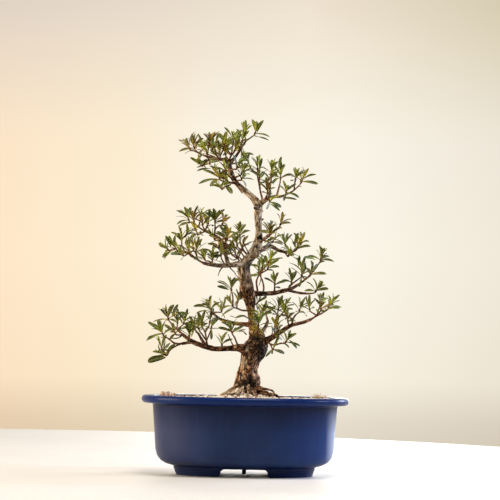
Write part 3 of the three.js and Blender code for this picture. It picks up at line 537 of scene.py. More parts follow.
# Middle lines of the wood, each point with its radius. A limb's first point lies inside what it grows from.
TRUNK = [
    (1, 1, 62, 9), (1, 1, 80, 13), (1.5, 0, 96, 16.5), (1.5, 0, 104, 16), (2.5, -1, 111, 15),
    (2, -1, 119, 13.4), (3, -1, 129, 10.8), (5, 0, 138, 12), (9, 1, 148, 15), (13, 2, 157, 13.2),
    (12.5, 3, 166, 10), (8.5, 4, 176, 6.4), (6, 4, 188, 4.4), (5, 4, 199, 5), (3.2, 3, 210, 7.2),
    (0, 2, 221, 9), (-1.5, 1, 231, 7.9), (-4, 0, 241, 7.3), (-4.6, 0, 250, 7.4), (0.5, 1, 258, 6.4),
    (6.5, 2, 266, 6.4), (11, 2, 275, 6), (13, 2, 285, 5), (12.5, 1, 295, 3.8), (11.5, 0, 305, 4.3),
    (11.5, 0, 315, 5.2), (11.5, 0, 323, 5.4), (6, 0, 331, 4.3), (0, 1, 336, 3.8), (-8, 1, 343, 3.4),
    (-16, 0, 350, 3.2), (-20, 0, 357, 3), (-23, -1, 366, 3.1), (-25, -1, 374, 3.6),
    (-25.5, -1, 378, 2.2),
]
LIMBS = {
    "low_left": [
        (4, -1, 149, 7.5), (-8, -3, 151.5, 4.8), (-20, -5, 151, 3.4), (-35, -8, 150, 3.3),
        (-46, -9, 152, 3.2), (-56, -8, 154.8, 3), (-63, -6, 157.5, 2.9), (-69, -4, 161, 2.6),
        (-77, 0, 167, 2.2),
    ],
    "low_left_front": [
        (-64, -6, 158, 2.4), (-70, -9, 157, 2), (-77, -13, 155.6, 1.8),
    ],
    "low_left_back": [
        (-48, -8, 153, 2.4), (-51, 1, 157, 2), (-55, 10, 163, 1.8), (-58, 18, 168, 1.6),
    ],
    "left_olive": [
        (6, 4, 180, 3.4), (-3, 8, 180.5, 2.6), (-15, 14, 181.5, 2.4), (-25, 18, 184, 2.2),
        (-34, 20, 187.5, 1.9), (-38, 21, 191, 1.7),
    ],
    "low_right": [
        (14, 2, 156, 7), (22, -2, 160.5, 4.4), (28, -6, 163.5, 3.4), (34, -9, 167.5, 3),
        (40, -12, 171, 2.8), (47, -14, 176, 2.6), (54, -15, 180, 2.5), (62, -15, 182, 2.3),
        (70, -13, 184.5, 2.1), (77, -11, 187.5, 1.9),
    ],
    "low_back": [
        (12, 4, 168, 5), (18, 14, 172, 3), (23, 28, 178, 2.3), (26, 42, 186, 1.7),
    ],
    "mid_right": [
        (2, 2, 217, 5), (10, 6, 217.5, 3.6), (20, 10, 218, 3), (33, 14, 219, 2.7), (44, 16, 222, 2.5),
        (54, 17, 225, 2.3), (62, 17, 230, 2),
    ],
    "mid_right_back": [
        (48, 16, 223, 1.9), (57, 22, 221.3, 1.7), (65, 25, 220, 1.5), (73, 27, 219.5, 1.4),
    ],
    "middle_back": [
        (3, 4, 207, 4.5), (5, 14, 212, 3), (4, 26, 218, 2.3), (0, 38, 226, 1.7),
    ],
    "mid_left": [
        (-4, 0, 251, 5.4), (-12, -4, 252, 3.8), (-18, -8, 251, 3.2), (-25, -11, 250, 2.9),
        (-35, -14, 249.5, 2.6), (-45, -16, 250.5, 2.3), (-53, -17, 252, 2),
    ],
    "upper_left": [
        (-23, -10, 250.5, 2.7), (-26, -4, 261, 2.3), (-28, 4, 272, 2.2), (-34, 10, 283, 2),
        (-44, 14, 288.5, 1.8),
    ],
    "mid_right_high": [
        (9, 2, 266, 5), (16, 7, 270.5, 3.2), (22, 11, 274, 2.7), (28, 14, 275, 2.5),
        (36, 16, 271.2, 2.2), (44, 18, 269, 2), (51, 19, 268, 1.8),
    ],
    "upper_back": [
        (12, 3, 279, 4.4), (17, 13, 283, 2.3), (22, 24, 287, 1.7),
    ],
    "top_right": [
        (11, 0, 322, 4.5), (18, -2, 328, 2.9), (24, -5, 331, 2.4), (31, -8, 333, 2.2),
        (38, -10, 333, 1.9),
    ],
    "apex_left": [
        (-25, -1, 374.5, 2.8), (-31, 3, 377.5, 2.1), (-39, 7, 379, 1.8), (-45, 9, 380.4, 1.6),
    ],
    "apex_right": [
        (-24, -1, 373, 2.8), (-18, -5, 379, 2), (-13, -8, 386, 1.7), (-9, -10, 393, 1.5),
    ],
}
ROOTS = [
    [(-6, -3, 103, 7), (-16, -5, 98.5, 4.2), (-25, -6, 96, 2.8), (-33, -6, 92, 1.8)],
    [(-4, -6, 102, 6.5), (-11, -15, 98, 4), (-17, -24, 94.5, 2.6), (-21, -31, 90, 1.6)],
    [(5, -7, 102, 6.5), (8, -17, 98, 4.2), (11, -25, 95, 2.8), (13, -33, 90, 1.8)],
    [(8, -3, 102, 7), (18, -7, 99, 4.4), (27, -10, 97, 3), (36, -13, 95.5, 2.2), (43, -15, 92, 1.5)],
    [(8, 4, 102, 6.5), (18, 8, 98, 4), (26, 13, 95, 2.6), (34, 17, 90, 1.6)],
    [(2, 8, 102, 6.5), (4, 18, 98, 4.2), (4, 27, 94.5, 2.8), (2, 36, 89, 1.8)],
    [(-5, 6, 102, 6.5), (-14, 13, 98, 4), (-21, 20, 94.5, 2.6), (-27, 27, 89, 1.6)],
]

CROWN_FROM = 110
SWAY = {"reach": 8, "per": 48}
DEPTH = 1.3


def in_depth(point):
    """The tree leans back and forth as it climbs, and its limbs reach deeper than the points above say."""
    x, y, z, *radius = point
    if z < CROWN_FROM:
        return (x, y, z, *radius)
    return (x, y * DEPTH + SWAY["reach"] * math.sin((z - CROWN_FROM) / SWAY["per"]), z, *radius)


NOISE_STEPS = (374761393, 668265263, 1442695041)
NOISE_MIX = 1274126177


def noise(points, seed=0):
    """Smooth random values from -1 to 1 at points one unit of which is one lump."""
    cell = np.floor(points).astype(np.int64)
    part = points - cell
    part = part * part * (3 - 2 * part)
    total = np.zeros(len(points))
    for corner in itertools.product((0, 1), repeat=3):
        at = (cell + corner) * NOISE_STEPS
        mixed = (at.sum(axis=1) + seed * NOISE_MIX) & 0xffffffff
        mixed = ((mixed ^ (mixed >> 13)) * NOISE_MIX) & 0xffffffff
        value = ((mixed ^ (mixed >> 16)) & 0xffff) / (0xffff / 2) - 1
        total += value * np.prod(np.where(corner, part, 1 - part), axis=1)
    return total


# Azalea bark: thin flakes that weather from a warm orange-brown at the foot to a pale grey-tan higher up,
# over redder new bark on the youngest wood; places on the left and front where light falls are painted pale,
# as painted light. Furrows hold dirt and, with painted shade, are nearly black. Where the limbs part, water
# stands and the bark is dark and mossy; painted shade darkens it too, in the forks, in the hollows of the
# wood and on the right of the trunk. Matt.
def bark_material(name):
    """Bark whose colour follows the values stored on the mesh: how thick the wood is, how deep a furrow (dirt
    and painted shade), how pale (weathering and painted light), how damp (with painted shade) and mossy the
    place, and its place along the limb, on which the flakes are drawn out."""
    made, tree, place = material(name)
    values = {}
    for value in ("girth", "groove", "weathering_and_light", "damp", "moss"):
        values[value] = add(tree, "Attribute", attribute_name=value).outputs["Fac"]
    growth = add(tree, "Attribute", attribute_name="growth").outputs["Vector"]
    drawn = add(tree, "VectorMath", {0: growth, 1: (0.26, 1, 1)}, operation="MULTIPLY")
    flake = add(tree, "TexNoise", {"Vector": drawn, "Scale": 1 / 2, "Detail": 6.0, "Roughness": 0.7})
    patch = add(tree, "TexNoise", {"Vector": place, "Scale": 1 / 4.5, "Detail": 3.0})
    light = add(tree, "Mix", {0: 0.3, 2: flake, 3: patch}).outputs[0]
    warm = add(tree, "ValToRGB", {"Fac": light}, stops=[
        (0.4, "#080401"), (0.45, "#2a1508"), (0.5, "#603d22"), (0.545, "#a87a52"), (0.61, "#f3d0ab")])
    grey = add(tree, "ValToRGB", {"Fac": light}, stops=[
        (0.39, "#45331f"), (0.44, "#90775a"), (0.49, "#c3ab8a"), (0.54, "#e6d5b9"), (0.6, "#f8efdf")])
    # Pale where the bark is weathered, and where painted light falls.
    aged_and_lit = add(tree, "MixRGB", {"Fac": values["weathering_and_light"], "Color1": warm, "Color2": grey})
    young = add(tree, "ValToRGB", {"Fac": light}, stops=[
        (0.38, "#27150b"), (0.48, "#573620"), (0.55, "#865a36"), (0.64, "#bf9666")])
    thick = add(tree, "MapRange", {"Value": values["girth"], "From Min": 1.3, "From Max": 5.0})
    mixed = add(tree, "MixRGB", {"Fac": thick, "Color1": young, "Color2": aged_and_lit})
    # Dark bark where it is damp, also used as painted shade.
    wet_and_shaded = add(tree, "ValToRGB", {"Fac": light}, stops=[
        (0.42, "#0a0603"), (0.5, "#1f170c"), (0.57, "#3d3320"), (0.65, "#8d7a58")])
    soaked_and_shaded = add(tree, "MixRGB", {"Fac": values["damp"], "Color1": mixed, "Color2": wet_and_shaded})
    cushion = add(tree, "TexNoise", {"Vector": place, "Scale": 1 / 1.8, "Detail": 4.0})
    mossy = add(tree, "ValToRGB", {"Fac": cushion}, stops=[
        (0.36, "#3a3410"), (0.47, "#7c6f24"), (0.55, "#b39a3a"), (0.64, "#e0b954")])
    green = add(tree, "MixRGB", {"Fac": values["moss"], "Color1": soaked_and_shaded, "Color2": mossy})
    # Furrows and the dips between knuckles are painted near black: dirt, and painted shade.
    deep = add(tree, "MapRange", {"Value": values["groove"], "From Min": 0.0, "From Max": -0.55})
    furrow_dirt_and_shade = add(tree, "MixRGB", {"Fac": deep, "Color1": green, "Color2": colour("#150d07")})
    fine = add(tree, "TexNoise", {"Vector": drawn, "Scale": 1 / 0.6, "Detail": 4.0, "Roughness": 0.7})
    rough = add(tree, "Bump", {"Height": fine, "Strength": 0.7, "Distance": 0.0004})
    flaky = add(tree, "Bump", {"Height": flake, "Normal": rough, "Strength": 1.0, "Distance": 0.0012})
    finish_material(tree, add(tree, "BsdfPrincipled", {
        "Base Color": furrow_dirt_and_shade, "Roughness": 0.86, "Specular IOR Level": 0.2, "Normal": flaky}))
    return made


azalea_bark = bark_material("flaky azalea bark")

# Short stubs where shoots were cut back: the point on the trunk, the way out, the radius.
STUBS = [
    ((18, -6, 150), (0.7, -0.7, 0.1), 3.2), ((6, -11, 128), (0.2, -1, 0), 2.4),
    ((10, 13, 133), (0.3, 1, 0.1), 2.6), ((-5, 5, 214), (-0.8, 0.6, 0), 1.9),
    ((-4, -6, 224), (-0.5, -0.85, 0.2), 2), ((10, -5, 262), (0.8, -0.5, 0.2), 1.8),
    ((15, 4, 306), (0.9, 0.4, 0.3), 1.5), ((8, -5, 319), (-0.5, -0.85, 0.1), 1.7),
    ((14, 3, 316), (0.9, 0.3, 0.2), 1.9), ((-2, 8, 240), (0.1, 1, 0.1), 2),
]
STUB_LENGTH = 3.5


def stub(place, way, radius):
    """The middle line of a cut stub, from inside the wood to its end, which narrows a little."""
    start = np.array(in_depth(place))
    way = np.array(way) / np.linalg.norm(way)
    return [(*(start + way * far), radius * wide)
            for far, wide in ((-6, 1.3), (-1, 1.15), (STUB_LENGTH * 0.6, 1), (STUB_LENGTH, 0.75))]


wood_lines = [centre_line([in_depth(point) for point in TRUNK], 8)]
wood_lines += [centre_line([in_depth(point) for point in points], 10) for points in LIMBS.values()]
wood_lines += [centre_line(points, 8) for points in ROOTS]
wood_lines += [centre_line(stub(*one), 3) for one in STUBS]

# The bars are fused on a fine grid and softened, so that each limb grows out of the wood without a seam.
WOOD_SIDES = 20
WOOD_GRAIN = 0.69
bars = gather(round_bar(line, WOOD_SIDES) for line in wood_lines)
old_wood = make_piece("trunk_roots_and_limbs", *bars, azalea_bark)
fuse = old_wood.modifiers.new("fuse", "REMESH")
fuse.mode = "VOXEL"
fuse.voxel_size = WOOD_GRAIN / METRE
soften = old_wood.modifiers.new("soften", "SMOOTH")
soften.factor = 0.5
soften.iterations = 4
bake(old_wood)


# Each limb's places start this far from the last one's, so that no two have the same bark.
LIMB_START = 517.3
CLOSE_SPOTS = 14


def growth_places(points, lines):
    """For each point on the wood: its place in its own limb (along, and two across, in mm), and the limb's
    radius there."""
    spots, radii, places = [], [], []
    alongs, acrosses, overs = [], [], []
    for number, line in enumerate(lines):
        along, across, over = frames_along(line)
        run = np.concatenate([[0], np.cumsum(np.linalg.norm(np.diff(line[:, :3], axis=0), axis=1))])
        spots.append(line[:, :3])
        radii.append(line[:, 3])
        places.append(run + number * LIMB_START)
        alongs.append(along)
        acrosses.append(across)
        overs.append(over)
    spots, radii, places = np.vstack(spots), np.concatenate(radii), np.concatenate(places)
    alongs, acrosses, overs = np.vstack(alongs), np.vstack(acrosses), np.vstack(overs)
    finder = KDTree(len(spots))
    for number, spot in enumerate(spots):
        finder.insert(spot, number)
    finder.balance()
    chosen = np.empty(len(points), int)
    for number, point in enumerate(points):
        close = finder.find_n(point, CLOSE_SPOTS)
        chosen[number] = min(close, key=lambda found: found[2] - radii[found[1]])[1]
    off = points - spots[chosen]
    ahead = (off * alongs[chosen]).sum(axis=1)
    growth = np.stack([places[chosen] + ahead, (off * acrosses[chosen]).sum(axis=1),
                       (off * overs[chosen]).sum(axis=1)], axis=1)
    return growth, radii[chosen]


def set_values(mesh, name, kind, values):
    """Stores one value for each of the mesh's points."""
    field = {"FLOAT": "value", "FLOAT_VECTOR": "vector", "FLOAT_COLOR": "color"}[kind]
    layer = mesh.attributes.new(name, kind, "POINT")
    layer.data.foreach_set(field, np.asarray(values, np.float32).ravel())


# Burrs and hollows of the trunk: the middle, the reach, and how far the wood stands out or in.
BURRS = [
    ((-6, -12, 118), 7.5, 2.2), ((11, -11, 122), 6, 1.3), ((7, -15, 107), 6, -2.4), ((1, -11, 147), 4.5, 1.5),
    ((15, -12, 153), 6, 1.4), ((22, -4, 160), 5, 1.5), ((-9, 4, 112), 6, 1.6), ((5, 15, 115), 7, -1.8),
    ((-2, -8, 135), 4, 0.9), ((8, -7, 181), 4, 0.8), ((-6, -6, 220), 4.5, 1.2), ((4, -7, 232), 4, -1.2),
    ((-9, 1, 247), 5, 1.1), ((12, 8, 150), 7, -1.5), ((13, -2, 326), 4, 0.9), ((-25, -1, 374), 3.5, 1.0),
]
# Patches of bark, as the middle and the reach: where the bark is dark, damp where water stands and painted
# shade on the right of the trunk, in the forks and in the hollows; where moss grows on it; and where it is
# painted pale, as painted light where the left and front are lit, and where the old bark has flaked off and
# the pale wood below it is bleached.
DAMP_AND_SHADE = [
    ((17, 0, 152), 18), ((11, 0, 163), 10), ((19, -3, 141), 10), ((3, -14, 108), 10), ((-5, -14, 107), 5),
    ((2, -17, 101), 6), ((1, 2, 249), 9), ((-3, 0, 243), 6), ((-25, -1, 374), 9), ((7, 4, 190), 7),
    ((10, 0, 322), 5), ((20, 3, 217), 8),
]
MOSS = [
    ((13, -3, 175), 10), ((8, -3, 188), 9), ((18, 2, 165), 6), ((-14, 13, 182), 9), ((-26, 18, 185), 9),
    ((19, -4, 106), 5), ((6, 3, 196), 5), ((11, 2, 327), 5), ((12, 12, 158), 8),
]
LIT_AND_BARE = [
    ((-6, -12, 136), 7), ((-5, -14, 118), 4), ((2, -13, 130), 3), ((1, -10, 150), 3.5), ((-19, -8, 99), 10),
    ((-12, -17, 98), 9), ((-24, 0, 97), 9), ((-30, -6, 95), 8), ((-13, -13, 104), 5),
]
PATCH_STRETCH = (1, 0.6, 1)


def near(points, spots):
    """From 0 to 1: how near each point lies to the closest of some (middle, reach) spots, which run deeper
    into the tree than they are wide."""
    share = np.zeros(len(points))
    for middle, reach in spots:
        away = np.linalg.norm((points - in_depth(middle)) * PATCH_STRETCH, axis=1) / reach
        share = np.maximum(share, np.clip(1.6 - 1.3 * away, 0, 1))
    return share


# How long the bark's forms are along the limb and how wide across it.
LUMP = (14, 6.5, 6.5)
KNUCKLE = (5, 3, 3)
FURROW = (9, 2.6, 2.6)
FLAKE = (2.8, 1.5, 1.5)
PALE = {"from": 215, "over": 45}
OLD_GIRTH = 5


def carve_bark(piece, lines):
    """Raises the bark's burrs, lumps, furrows and flakes on the fused wood, and stores what colours it."""
    mesh = piece.data
    count = len(mesh.vertices)
    points, normals = np.empty(count * 3), np.empty(count * 3)
    mesh.vertices.foreach_get("co", points)
    mesh.vertices.foreach_get("normal", normals)
    points = points.reshape(-1, 3) * METRE
    normals = normals.reshape(-1, 3)
    growth, girth = growth_places(points, lines)
    heavy = np.clip((girth - 2) / 10, 0, 1)
    lump = noise(growth / LUMP, 1) * girth * 0.08
    knuckle = noise(growth / KNUCKLE, 2) * (0.2 + 0.8 * heavy)
    bent = growth / FURROW + noise(growth / 4, 3)[:, None] * 0.5
    furrow = np.clip(1 - 2 * np.abs(noise(bent, 4)), -1, 0.2)
    flake = noise(growth / FLAKE, 5)
    relief = furrow * (0.12 + 0.6 * heavy) + flake * (0.12 + 0.3 * heavy)
    burrs = np.zeros(count)
    for middle, reach, swell in BURRS:
        away = np.linalg.norm(points - in_depth(middle), axis=1) / reach
        burrs += swell * np.exp(-2 * away ** 2)
    blur = noise(points / 4.5, 6) * 0.5 + noise(points / 2, 9) * 0.3
    hollow_shade = np.clip(-burrs / 2, 0, 1)
    old = points[:, 2] < CROWN_FROM
    set_values(mesh, "girth", "FLOAT", np.where(old, np.maximum(girth, OLD_GIRTH), girth))
    set_values(mesh, "groove", "FLOAT", np.clip((relief + 0.5 * knuckle) / (0.22 + 0.7 * heavy), -1, 1))
    set_values(mesh, "growth", "FLOAT_VECTOR", growth)
    high = np.clip((points[:, 2] - PALE["from"]) / PALE["over"] + 0.5 * blur, 0, 1)
    # Painted light: places on the left and front of the waist and the foot, where light falls, are painted
    # pale, with bare bleached bark among them.
    lit_and_bare = np.clip(near(points, LIT_AND_BARE) * (1 + blur), 0, 1)
    set_values(mesh, "weathering_and_light", "FLOAT", np.maximum(high, lit_and_bare))
    # Painted shade with the damp: dark on the right of the trunk where the low limbs part, in its forks and
    # in the hollows of the wood.
    set_values(mesh, "damp", "FLOAT", np.clip(near(points, DAMP_AND_SHADE) * 1.1 + hollow_shade + 0.8 * blur - 0.15, 0, 1))
    set_values(mesh, "moss", "FLOAT", np.clip(near(points, MOSS) * 1.3 + 1.2 * blur - 0.4, 0, 1))
    points += normals * (lump + knuckle + relief + burrs)[:, None]
    mesh.vertices.foreach_set("co", (points / METRE).ravel())
    mesh.update()


carve_bark(old_wood, wood_lines)
old_wood.data.shade_smooth()
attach(old_wood, "root")
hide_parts("trunk_and_limbs")


# --- Soil --------------------------------------------------------------------------------------------------
# The pot is filled with a damp mix of pumice grit and fine bark, mounded up to the trunk, and topped with a
# layer of washed pumice grains, with some red-brown clay grains among them.

SOIL_EDGE = 91
SOIL_MOUND = 8
SOIL_SPREAD = 22
SOIL_RIPPLE = 0.7


def soil_height(x, y):
    """The soil's surface: level at the wall and mounded at the trunk, with slight ripples."""
    rise = SOIL_MOUND * np.exp(-(x * x + y * y) / (2 * SOIL_SPREAD ** 2))
    return SOIL_EDGE + rise + SOIL_RIPPLE * np.sin(x * 0.31 + 1) * np.cos(y * 0.27)


# Damp potting mix: dark brown crumbs between the grains, matt.
damp_mix, tree, place = material("damp potting mix")
crumb = add(tree, "TexNoise", {"Vector": place, "Scale": 1 / 2.5, "Detail": 6.0, "Roughness": 0.7})
brown = add(tree, "ValToRGB", {"Fac": crumb}, stops=[
    (0.3, "#2e2015"), (0.5, "#66503a"), (0.62, "#a08a6a"), (0.75, "#d2c5aa")])
lumpy = add(tree, "Bump", {"Height": crumb, "Strength": 1.0, "Distance": 0.0012})
finish_material(tree, add(tree, "BsdfPrincipled", {"Base Color": brown, "Roughness": 0.9, "Normal": lumpy}))

soil_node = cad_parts["soil"]
soil_node.data.materials.clear()
soil_node.data.materials.append(damp_mix)

# Washed pumice: off-white, chalky and full of pores, with a warm or grey cast from grain to grain; a few
# grains are baked red-brown clay.
pumice, tree, place = material("washed pumice grains")
kind = add(tree, "Attribute", attribute_name="grain_kind").outputs["Fac"]
cast = add(tree, "ValToRGB", {"Fac": kind}, stops=[
    (0.0, "#f3efe3"), (0.45, "#e6dcc6"), (0.68, "#cdbb9b"), (0.8, "#b48f63"), (0.9, "#8a5a3a"),
    (1.0, "#6c625a")])
pores = add(tree, "TexNoise", {"Vector": place, "Scale": 1 / 0.7, "Detail": 5.0, "Roughness": 0.75})
dark = add(tree, "MapRange", {"Value": pores, "From Min": 0.46, "From Max": 0.3, "To Max": 0.55})
pitted = add(tree, "MixRGB", {"Fac": dark, "Color1": cast, "Color2": colour("#7d6a52")})
pits = add(tree, "Bump", {"Height": pores, "Strength": 0.8, "Distance": 0.0004})
finish_material(tree, add(tree, "BsdfPrincipled", {"Base Color": pitted, "Roughness": 0.92, "Normal": pits}))


def stone_form(fineness):
    """Points and faces of a round stone one unit in radius."""
    made = bmesh.new()
    bmesh.ops.create_icosphere(made, subdivisions=fineness, radius=1)
    points = np.array([corner.co for corner in made.verts])
    faces = [tuple(corner.index for corner in face.verts) for face in made.faces]
    made.free()
    return points, faces


# A stone's least and greatest share of its size each way, how deep its dents are, and how flat it lies.
STONE_SHARES = (0.7, 1.15)
STONE_DENTS = 0.24
STONE_LIES = (1, 1, 0.85)


def stones(random, places, sizes, fineness):
    """Broken, slightly rounded stones of those sizes at those places, and one random value for each."""
    form, faces = stone_form(fineness)
    bodies, kinds = [], []
    for number, (spot, size) in enumerate(zip(places, sizes)):
        turned = Quaternion(random.normal(size=4)).normalized().to_matrix()
        body = form * random.uniform(*STONE_SHARES, 3)
        body = body * (1 + STONE_DENTS * noise(form * 1.7 + number * 3.1))[:, None]
        body = body @ np.array(turned) * size / 2 * STONE_LIES + spot
        bodies.append((body, faces))
        kinds += [random.random()] * len(form)
    return gather(bodies), kinds


INSIDE_HALF = 105.4


def inside_pot(x, y, margin):
    """True where a point lies further than the margin from the pot's inner wall."""
    long = INSIDE_HALF - margin
    return (abs(x) / long) ** POT_SQUARENESS + (abs(y) / short_half(long)) ** POT_SQUARENESS < 1


# The rows' distance and the most that a grain is out of its place, as shares of the spacing.
ROW_SHARE = 0.866
SHIFT_SHARE = 0.38
FOOT = {"x": 1.5, "radius": 15}


def scatter(random, spacing, sizes, margin, lift):
    """Places for grains, one to each cell of a staggered grid on the soil, and their sizes. None lies where
    the foot of the trunk stands."""
    places, grains = [], []
    for row, y in enumerate(np.arange(-POT_SHORT_HALF, POT_SHORT_HALF, spacing * ROW_SHARE)):
        for x in np.arange(-POT_LONG_HALF, POT_LONG_HALF, spacing) + (row % 2) * spacing / 2:
            dx, dy = random.uniform(-SHIFT_SHARE, SHIFT_SHARE, 2) * spacing
            size = random.triangular(*sizes)
            up = random.uniform(*lift)
            gx, gy = x + dx, y + dy
            if inside_pot(gx, gy, margin + size / 2) and math.hypot(gx - FOOT["x"], gy) > FOOT["radius"]:
                places.append((gx, gy, soil_height(gx, gy) + up))
                grains.append(size)
    return places, grains


# Each layer's fineness, and how it lies: the sizes are the least, the usual and the greatest, and the lift is
# how far the middle of a grain is over the soil.
GRAINS = {
    "pumice_grains": (2, dict(spacing=3.9, sizes=(3.0, 4.2, 6.2), margin=0.3, lift=(-1.3, 0.1))),
    "pumice_grit": (1, dict(spacing=2.9, sizes=(1.4, 2.0, 3.0), margin=0.2, lift=(-0.3, 0.5))),
}

random = np.random.default_rng(11)
for name, (fineness, layer) in GRAINS.items():
    (points, faces), kinds = stones(random, *scatter(random, **layer), fineness)
    grains = make_piece(name, points, faces, pumice)
    set_values(grains.data, "grain_kind", "FLOAT", kinds)
    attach(grains, "root")


# --- Pebbles and dry grass on the soil ---------------------------------------------------------------------
# A few pinkish pebbles lie on the grains at the left wall and two at the right one, where a tuft of dead
# grass sticks up between them.

# A water-worn pebble: warm pinkish grey, finely speckled, matt.
pebble_stone, tree, place = material("pinkish pebble")
speckle = add(tree, "TexNoise", {"Vector": place, "Scale": 1 / 0.9, "Detail": 4.0})
pink = add(tree, "ValToRGB", {"Fac": speckle}, stops=[(0.35, "#a88672"), (0.5, "#d3b7a0"), (0.65, "#e9d6c4")])
chalky = add(tree, "Bump", {"Height": speckle, "Strength": 0.4, "Distance": 0.0003})
finish_material(tree, add(tree, "BsdfPrincipled", {"Base Color": pink, "Roughness": 0.85, "Normal": chalky}))

# Each pebble's middle and size.
PEBBLES = [((-98, -6, 95.5), 7.5), ((-93, 4, 95.5), 6.5), ((-88, -8, 94.8), 6), ((-85, 8, 94.5), 5.5),
           ((84, 6, 94.5), 5.5), ((95, -2, 94.6), 6)]
PEBBLE_FINENESS = 3
pebble_bodies, _ = stones(random, *zip(*PEBBLES), PEBBLE_FINENESS)
pebbles = make_piece("pinkish_pebbles", *pebble_bodies, pebble_stone)
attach(pebbles, "root")

# Dead grass: straw-coloured, a little shiny.
straw, tree, place = material("dry grass")
fibre = add(tree, "TexNoise", {"Vector": place, "Scale": 1 / 1.5, "Detail": 3.0})
pale = add(tree, "ValToRGB", {"Fac": fibre}, stops=[(0.35, "#9c7a48"), (0.65, "#dcc491")])
finish_material(tree, add(tree, "BsdfPrincipled", {"Base Color": pale, "Roughness": 0.6}))

TUFT = {"x": 89, "y": 2, "z": 91.5, "spread": 2.5, "blades": 16}
blades = []
for number in range(TUFT["blades"]):
    spin = random.uniform(0, 2 * math.pi)
    lean = random.uniform(4, 10)
    high = random.uniform(4, 8.5)
    x = TUFT["x"] + random.normal() * TUFT["spread"]
    y = TUFT["y"] + random.normal() * TUFT["spread"]
    foot = np.array((x, y, TUFT["z"]))
    way = np.array((math.cos(spin), math.sin(spin) * 0.6, 0))
    bend = foot + way * lean * 0.3 + (0, 0, high * 0.6)
    tip = foot + way * lean + (0, 0, high)
    blades.append(round_bar(centre_line([(*foot, 0.35), (*bend, 0.3), (*tip, 0.12)], 4), 5))
grass = make_piece("dry_grass", *gather(blades), straw)
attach(grass, "root")


# --- Fine roots --------------------------------------------------------------------------------------------
# A fan of fibrous roots, pale on the left and red-brown on the right, leaves the foot of the trunk and dives
# into the grains.

root_bark = bark_material("fibrous root bark")

ROOT_MIDDLE = np.array((2, -1, 0))
ROOT_COUNT = 46
ROOT_GIRTH = 3.4
# The larger ones that show on their own at the front.
STRAY_ROOTS = [
    [(13, -8, 107, 1.9), (22, -10, 103.5, 1.6), (31, -11, 102, 1.2), (37, -12, 96, 0.7)],
    [(12, -11, 104, 1.5), (21, -15, 101, 1.3), (28, -17, 99, 0.9), (33, -19, 94, 0.6)],
    [(-9, -10, 108, 1.7), (-15, -13, 104, 1.4), (-21, -14, 101, 1), (-26, -15, 95, 0.6)],
]


def even_bark(mesh, points, girth, weathering_and_light):
    """Stores the values of bark without furrows, damp or moss."""
    set_values(mesh, "girth", "FLOAT", [girth] * len(points))
    set_values(mesh, "weathering_and_light", "FLOAT", weathering_and_light)
    for value in ("groove", "damp", "moss"):
        set_values(mesh, value, "FLOAT", [0.0] * len(points))
    set_values(mesh, "growth", "FLOAT_VECTOR", points)


roots, weathering_and_light = [], []
for number in range(ROOT_COUNT):
    spin = random.uniform(0, 2 * math.pi)
    way = np.array((math.cos(spin), math.sin(spin), 0))
    side = np.array((-way[1], way[0], 0))
    out = random.uniform(15, 26)
    curl = random.uniform(-6, 6)
    start = ROOT_MIDDLE + way * random.uniform(11, 13)
    middle = ROOT_MIDDLE + way * (11 + out * 0.45) + side * curl * 0.4
    finish = ROOT_MIDDLE + way * (12 + out) + side * curl
    high = random.uniform(103, 109)
    low = soil_height(*middle[:2]) + random.uniform(1.5, 4)
    thick = random.uniform(0.5, 1.3)
    line = [(*start[:2], high, thick * 1.3), (*(start + middle)[:2] / 2, (high + low) / 2 + 0.5, thick * 1.1),
            (*middle[:2], low, thick), (*finish[:2], soil_height(*finish[:2]) + 0.4, thick * 0.6)]
    body = round_bar(centre_line(line, 6), 8)
    roots.append(body)
    weathering_and_light += [float(np.clip(0.5 - way[0] * 1.2, 0, 1))] * len(body[0])
for stray in STRAY_ROOTS:
    body = round_bar(centre_line(stray, 6), 8)
    roots.append(body)
    weathering_and_light += [0.5 if stray[0][0] < 0 else 0.0] * len(body[0])
points, faces = gather(roots)
points = points + 0.5 * np.stack([noise(points / 3, seed) for seed in (31, 32, 33)], axis=1)
fibres = make_piece("fibrous_roots", points, faces, root_bark)
even_bark(fibres.data, points, ROOT_GIRTH, weathering_and_light)
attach(fibres, "root")


# --- Leafy sprays ------------------------------------------------------------------------------------------
# Each spray is one leafy stem: thin brown twigs that end in a swollen bud with a whorl of leaves round it.
# Last year's leaves stand out, dark and leathery; the young ones in the middle are small, upright and
# yellow-green or bronze.

